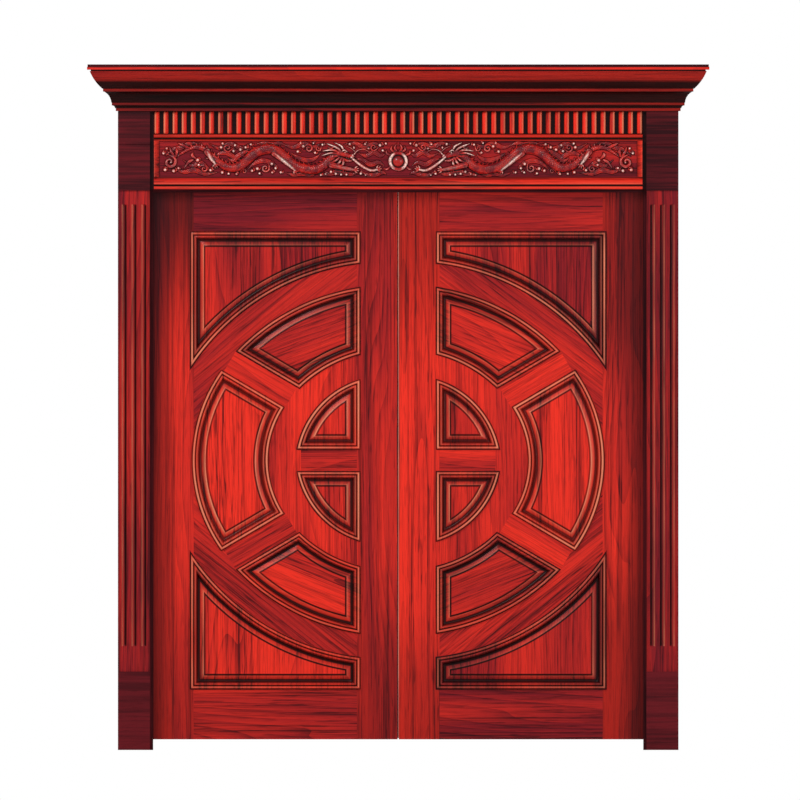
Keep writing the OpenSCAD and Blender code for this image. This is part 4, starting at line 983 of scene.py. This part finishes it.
FLAMES = [
    ((204, 54), (164, 60), (124, 46), (88, 58), (54, 46)),
    ((308, -54), (264, -58), (224, -46), (182, -57), (140, -50)),
    ((164, 0), (132, -4), (104, -20), (74, -12), (52, -26)),
    ((150, 22), (120, 12), (92, 26), (66, 12), (48, 20)),
    ((434, 56), (394, 44), (354, 58), (318, 46), (290, 58)),
    ((708, 58), (668, 40), (630, 57), (590, 42), (556, 58)),
    ((566, -40), (534, -14), (502, -6), (470, -18), (448, -40)),
    ((806, -4), (772, -26), (742, -14), (716, -34), (690, -52)),
    ((846, -26), (808, -48), (764, -42), (724, -56), (676, -50)),
    ((420, -52), (392, -60), (364, -54), (330, -60), (300, -52)),
    ((640, 4), (620, -6), (600, 12), (576, 26), (560, 40)),
    ((400, 22), (376, 6), (346, -4), (316, 0), (290, 22)),
    ((872, 10), (846, 34), (812, 44), (784, 58), (744, 60)),
    ((140, -44), (116, -60), (84, -58), (60, -50), (44, -58)),
    ((690, 8), (664, 22), (640, 22), (610, 4), (590, 4)),
    ((530, 58), (500, 60), (470, 54), (446, 60), (420, 50)),
]


def toward(heading):
    """A step of one at a heading in degrees."""
    a = math.radians(heading)
    return np.array((math.cos(a), math.sin(a)))


def scales(along, across):
    """Overlapping scales on the back and cross plates on the belly of a dragon."""
    turn = np.arcsin(np.clip(across, -1, 1)) / (math.pi / 7)
    row = np.floor(turn)
    off = turn - row - 0.5
    lap = np.mod(along / 8.5 + 0.5 * np.mod(row, 2) + 0.9 * off ** 2, 1.0)
    plates = np.mod(along / 7.0, 1.0)
    return np.where(across > 0.62, 2.6 * plates ** 2 - 1.2, 4.2 * lap ** 1.5 - 2.0)


def sinews(along, across):
    """Fine cords along a limb."""
    return 0.9 * np.cos(across * 9.0)


def ridges(along, across):
    """A groove along the middle of a curl."""
    return -1.6 * np.exp(-(across / 0.28) ** 2)


def tongues(along, across):
    """Two grooves along a tongue of flame, cut across now and then."""
    return 1.3 * np.cos(across * 8.0) - 1.6 * np.exp(-((np.mod(along, 26.0) - 13.0 - 6.0 * across) / 2.2) ** 2)


class CARVEDDOOR_OT_carving(bpy.types.Operator):
    """Two dragons and the pearl between them, carved in relief"""

    bl_idname = "carved_door.carving"
    bl_label = "Frieze Carving"

    def execute(self, context):
        s = context.scene.carved_door_sizes
        step = s.carving_step / MM
        dragon = Relief((36, -67), (892, 67), step)
        for points in FLAMES:
            dragon.stroke(points, (2.0, 8.0, 10.0, 8.0, 1.6), (3.0, 5.5, 6.5, 5.5, 2.5), 8, tongues)
        self.body(dragon)
        self.head(dragon)
        self.legs(dragon)
        self.clouds(dragon)
        wood = carved_wood("carved_wood")
        for hand, side in SIDES.items():
            dragon.carve(f"{hand}_dragon_carved", side, CARVING_Z, wood, (f"{hand}_dragon",))
        self.pearl(s, step, wood)
        return {"FINISHED"}

    def body(self, r):
        r.stroke(SPINE, [1.12 * g for g in GIRTH], [1.05 * g for g in GIRTH], 8, scales)
        line = flowing([(*p, g) for p, g in zip(SPINE, GIRTH)], 12)
        for k in range(20, len(line) - 18, 7):
            p, girth = line[k][:2], line[k][2]
            d = line[k + 1][:2] - line[k - 1][:2]
            d = d / np.hypot(*d)
            n = np.array((d[1], -d[0]))
            points = [p + 0.7 * girth * n, p + (girth + 2) * n - 2 * d, p + (girth + 8) * n - 8 * d]
            r.stroke(points, (4.6, 3.6, 0.9), (0.8 * girth, 8.5, 4.0), 4)
        tail = [
            ((784, 42), (806, 51), (828, 61)), ((838, 6), (850, 26), (858, 47)), ((770, -3), (786, -12), (804, -36)),
            ((834, 10), (830, 30), (836, 46)), ((760, 2), (772, 14), (768, 26)),
        ]
        for points in tail:
            r.stroke(points, (4.5, 6.4, 1.0), (9, 12.5, 5), 6, ridges)

    def head(self, r):
        r.stroke([(222, 22), (204, 19), (186, 12)], (16, 14, 9), (23, 24, 19), 6)
        r.stroke([(188, 12), (171, 10)], (9, 8), (20, 21.5), 4)
        r.ball((171, 14), 4.8, 24)
        r.ball((176, 6), 3.8, 21)
        r.stroke([(212, 4), (194, -5), (176, -6)], (8, 6.5, 4), (17, 15, 11), 5)
        r.stroke([(202, 2), (186, 1), (172, -4)], (3, 2.6, 1), (11, 10, 6), 5)
        for p in ((180, 3), (187, 4), (194, 5)):
            r.ball(p, 2.4, 14)
        r.stroke([(210, 29), (202, 33), (192, 27)], (3.5, 4.5, 2), (26, 28, 21), 5)
        r.ball((199, 25), 4.2, 27.5)
        r.stroke([(216, 30), (236, 45), (268, 58)], (6, 5, 1.4), (23, 20, 9), 6, ridges)
        r.stroke([(240, 47), (250, 40), (264, 42)], (4, 3, 1), (16, 13, 7), 5)
        r.stroke([(206, 32), (214, 49), (240, 62)], (5.4, 4.4, 1.2), (22, 18, 8), 6, ridges)
        for start, bend, tip in (((224, 27), (250, 34), (284, 30)), ((226, 20), (254, 22), (288, 12)),
                                 ((224, 12), (250, 8), (282, -2)), ((220, 6), (240, -8), (268, -14)),
                                 ((214, 0), (224, -16), (246, -20)), ((206, -4), (208, -20), (224, -30))):
            r.stroke([start, bend, tip], (6, 4.8, 1.0), (20, 18, 9), 7, ridges)
        r.stroke([(170, 12), (152, 32), (128, 36), (104, 24)], (3, 2.8, 2.6, 1.2), (17, 9, 8, 6), 7)
        r.stroke([(176, 2), (160, 22), (176, 40), (196, 48)], (2.4, 2.4, 2.2, 1.0), (13, 9, 8, 6), 7)

    def legs(self, r):
        for points, facing, gleam in (([(716, 28), (704, 6), (686, -18)], 255, 0.95),
                                      ([(464, 22), (430, -6), (388, -41)], 228, 0.95),
                                      ([(252, -20), (206, -33), (164, -40)], 178, 0.15)):
            r.stroke(points, (13.5, 10, 6), (22, 19, 13), 8, sinews)
            # A painted highlight along the leg, strongest on the first two legs.
            r.stroke(points, (4, 6.5, 4), (0.1 * gleam, gleam, 0.8 * gleam), 8, crown=1.0, grid=r.shine)
            self.paw(r, points[2], facing)
            hip, joint, foot = (np.array(p, float) for p in points)
            away = joint - (hip + foot) / 2
            away = away / max(np.hypot(*away), 1e-6)
            for turn in (-0.6, 0.0, 0.6):
                c, s = math.cos(turn), math.sin(turn)
                n = np.array((away[0] * c - away[1] * s, away[0] * s + away[1] * c))
                r.stroke([joint + 4 * n, joint + 13 * n, joint + 21 * n + 5 * np.array((-n[1], n[0]))],
                         (4, 3, 0.8), (15, 10, 4), 5)
        arm = [(176, 6), (142, -22), (106, -42), (80, -40)]
        r.stroke(arm, (5, 6, 6.4, 6), (15, 14, 14, 13), 8, sinews)
        # A painted highlight along the arm.
        r.stroke(arm, (4, 4, 4, 4), (0.8, 0.6, 0.5, 0.8), 8, grid=r.shine)
        self.paw(r, (79, -40), 150)

    def paw(self, r, place, facing):
        """Four claws spread about a heading in degrees."""
        paw = np.array(place, float)
        for turn in (-56, -18, 18, 58):
            toe = paw + 10 * toward(facing + turn)
            tip = toe + 10 * toward(facing + turn * 0.55)
            r.stroke([paw, toe, tip], (4.8, 4.2, 0.9), (13.5, 14, 5), 5)

    def clouds(self, r):
        for s, t, start, size in CURLS:
            self.curl(r, (s, t), start, size)
        for number, (s, t, size) in enumerate(PUFFS):
            r.ball((s, t), size, 5.5 + size)
            self.curl(r, (s - 0.5 * size, t + 0.3 * size), 67 * number, 0.95 * size)

    def curl(self, r, p, start, size):
        """A spiral of cloud with a trailing end."""
        p = np.array(p, float)
        turns, widths = [], []
        for k, width in enumerate((2.2, 3.8, 4.6, 4.6, 4.2, 3.8, 3.4, 3.2, 3.4)):
            turns.append(p + size * (1 - 0.105 * k) * toward(start + 58 * k))
            widths.append(size / 17 * width)
        r.stroke(turns, widths, [3.2 + 1.7 * w for w in widths], 6, ridges)
        tail = turns[0] + size * 1.3 * toward(start - 75)
        r.stroke([turns[1], turns[0], tail], (3.6, 3.2, 0.8), (9, 7, 3), 6)

    def pearl(self, s, step, material):
        r = Relief((-60, -62), (60, 67), step)
        big = s.pearl_r / MM
        far = np.hypot(r.s[:, None], r.t[None, :] + 8)
        rim = 6.0 * np.maximum(0.0, 1 - ((far - 0.82 * big) / (0.17 * big)) ** 2) ** 0.5
        dome = 2 + np.sqrt(np.maximum(0.0, (0.62 * big) ** 2 - far ** 2))
        r.h = np.maximum(np.where(far < big, 7.0 + rim, 0.0), np.where(far < 0.62 * big, 0.7 * dome, 0.0))
        # A painted highlight on both sides of the pearl's rim.
        r.shine = np.clip(rim / 4 - 0.5, 0, 1) * np.clip(np.abs(r.s[:, None]) / big * 2.4 - 0.7, 0, 0.9)
        flames = [((11, 24), (26, 36), (22, 52)), ((6, 27), (13, 42), (5, 60)), ((30, 14), (43, 22), (44, 36))]
        for side in (-1, 1):
            for points in flames:
                r.stroke([(x * side, t) for x, t in points], (5.5, 5, 0.9), (8, 9.5, 4), 7, ridges)
            foot = [(30 * side, -28), (42 * side, -38), (56 * side, -36)]
            r.stroke(foot, (5, 4, 0.9), (8, 9, 4), 7, ridges)
        r.carve("pearl_carved", 1, CARVING_Z, material, ("pearl",))


HINGE_HEIGHTS = [z * MM for z in (260, 1070, 1880)]
PLATE_T = 2.5 * MM
PLATE_GAP = 3 * MM
PLATE_MIDDLE = LEAF_BACK - 16 * MM
SCREWS = [(y * MM, z * MM) for y, z in ((-9, -45), (7, -18), (7, 18), (-9, 45))]


class CARVEDDOOR_OT_hinges(bpy.types.Operator):
    """Hinge plates and pins with their screws"""

    bl_idname = "carved_door.hinges"
    bl_label = "Hinges"

    def execute(self, context):
        metal = hinge_metal("hinge_satin")
        for node in ("hinge_jamb_plates", "hinge_pins", "left_hinge_plates", "right_hinge_plates"):
            paint(node, metal)
        for hand, side in SIDES.items():
            edge = low("right_hinge_plates")[0] + PLATE_T
            self.screws(f"{hand}_leaf_screws", side * edge, side, f"{hand}_leaf", metal)
            self.screws(f"{hand}_jamb_screws", side * (edge + PLATE_GAP), -side, "frame", metal)
        return {"FINISHED"}

    def screws(self, name, x, out, body, metal):
        """Slotted screw heads, just proud of a plate that faces along x."""
        points, faces = [], []
        for z in HINGE_HEIGHTS:
            for across, up in SCREWS:
                self.head(points, faces, x, out, PLATE_MIDDLE + across, z + up)
        piece(name, points, faces, metal, body)

    def head(self, points, faces, x, out, y, z):
        rows = []
        for radius, proud in ((4.2, 0.02), (4.0, 0.3), (3.2, 0.55), (1.6, 0.7)):
            row = []
            for k in range(16):
                a = 2 * math.pi * k / 16
                dent = 0.5 if abs(math.sin(a)) * radius < 0.7 and radius < 4.1 else 0.0
                row.append((x + out * max(proud - dent, 0.02) * MM, y + radius * MM * math.cos(a),
                            z + radius * MM * math.sin(a)))
            rows.append(row)
        join(points, faces, rows, flip=out < 0)


VIEW_WIDTH = 3.0
EYE = (0.00675, -7.0, 1.3125)
# name, place, aim, size in metres, power in watts
LAMPS = [
    ("key_light", (-2.6, -4.6, 4.6), (0.0, 0.0, 1.4), 2.0, 205.0),
    ("fill_light", (3.4, -4.4, 2.2), (0.0, 0.0, 1.2), 2.4, 80.0),
    ("back_light", (1.6, 5.0, 4.2), (0.0, 0.1, 1.2), 3.0, 170.0),
]


class CARVEDDOOR_OT_stage(bpy.types.Operator):
    """Pale floor, soft studio light and the camera"""

    bl_idname = "carved_door.stage"
    bl_label = "Stage"

    def execute(self, context):
        scene = context.scene
        scene.view_settings.view_transform = "Standard"
        self.floor(scene)
        self.world(scene)
        for lamp in LAMPS:
            self.lamp(*lamp)
        camera = bpy.data.cameras.new("front_camera")
        camera.type = "ORTHO"
        camera.ortho_scale = VIEW_WIDTH
        camera.clip_end = 60.0
        eye = bpy.data.objects.new("front_camera", camera)
        eye.location = EYE
        eye.rotation_euler = (math.pi / 2, 0.0, 0.0)
        scene.collection.objects.link(eye)
        scene.camera = eye
        return {"FINISHED"}

    def floor(self, scene):
        mesh = bpy.data.meshes.new("floor")
        mesh.from_pydata([(-12, -12, 0), (12, -12, 0), (12, 12, 0), (-12, 12, 0)], [], [(0, 1, 2, 3)])
        f = Finish("pale_floor", {"Specular IOR Level": 0.1})
        spread = f.noise(f.place(), 2.0, 0.5, 3.0)
        mesh.materials.append(f.feed({
            "Base Color": f.mix(spread, (0.8, 0.8, 0.8), (0.86, 0.86, 0.86)),
            "Roughness": 0.75 + spread * 0.1,
        }))
        plane = bpy.data.objects.new("floor", mesh)
        scene.collection.objects.link(plane)

    def world(self, scene):
        """A white sky, weaker as a light than to the eye."""
        world = bpy.data.worlds.new("studio")
        world.use_nodes = True
        f = Nodes(world.node_tree)
        seen = 0.0
        for ray in ("Is Camera Ray", "Is Glossy Ray", "Is Transmission Ray"):
            seen = f.math("MAXIMUM", seen, f.add("ShaderNodeLightPath", out=ray))
        level = f.add("ShaderNodeMapRange", {}, {"Value": seen, "To Min": 0.42, "To Max": 1.0})
        sky = f.tree.nodes["Background"]
        sky.inputs["Color"].default_value = (1.0, 1.0, 1.0, 1.0)
        f.tree.links.new(level.socket, sky.inputs["Strength"])
        scene.world = world

    def lamp(self, name, place, aim, size, power):
        light = bpy.data.lights.new(name, "AREA")
        light.shape = "SQUARE"
        light.size = size
        light.energy = power
        lamp = bpy.data.objects.new(name, light)
        lamp.location = place
        run = [a - p for a, p in zip(aim, place)]
        lamp.rotation_euler = (math.atan2(math.hypot(run[0], run[1]), -run[2]), 0.0, math.atan2(-run[0], run[1]))
        bpy.context.scene.collection.objects.link(lamp)


class CARVEDDOOR_PT_sidebar(bpy.types.Panel):
    """Steps and settings of the carved door"""

    bl_label = "Carved Door"
    bl_idname = "CARVEDDOOR_PT_sidebar"
    bl_space_type = "VIEW_3D"
    bl_region_type = "UI"
    bl_category = "Carved Door"

    def draw(self, context):
        for step in STEPS:
            self.layout.operator(step.bl_idname)
        for group in (context.scene.carved_door_sizes, context.scene.carved_door_finish):
            column = self.layout.column()
            for key in group.__annotations__:
                column.prop(group, key)


STEPS = (
    CARVEDDOOR_OT_leaf_framing,
    CARVEDDOOR_OT_leaf_panels,
    CARVEDDOOR_OT_posts,
    CARVEDDOOR_OT_cornice,
    CARVEDDOOR_OT_frieze,
    CARVEDDOOR_OT_carving,
    CARVEDDOOR_OT_hinges,
    CARVEDDOOR_OT_stage,
)
CLASSES = (CarvedDoorSizes, CarvedDoorFinish, *STEPS, CARVEDDOOR_PT_sidebar)


def register():
    for cls in CLASSES:
        bpy.utils.register_class(cls)
    bpy.types.Scene.carved_door_sizes = PointerProperty(type=CarvedDoorSizes)
    bpy.types.Scene.carved_door_finish = PointerProperty(type=CarvedDoorFinish)


def unregister():
    del bpy.types.Scene.carved_door_finish
    del bpy.types.Scene.carved_door_sizes
    for cls in reversed(CLASSES):
        bpy.utils.unregister_class(cls)


def main():
    register()
    for step in STEPS:
        group, name = step.bl_idname.split(".")
        getattr(getattr(bpy.ops, group), name)()


if __name__ == "__main__":
    main()
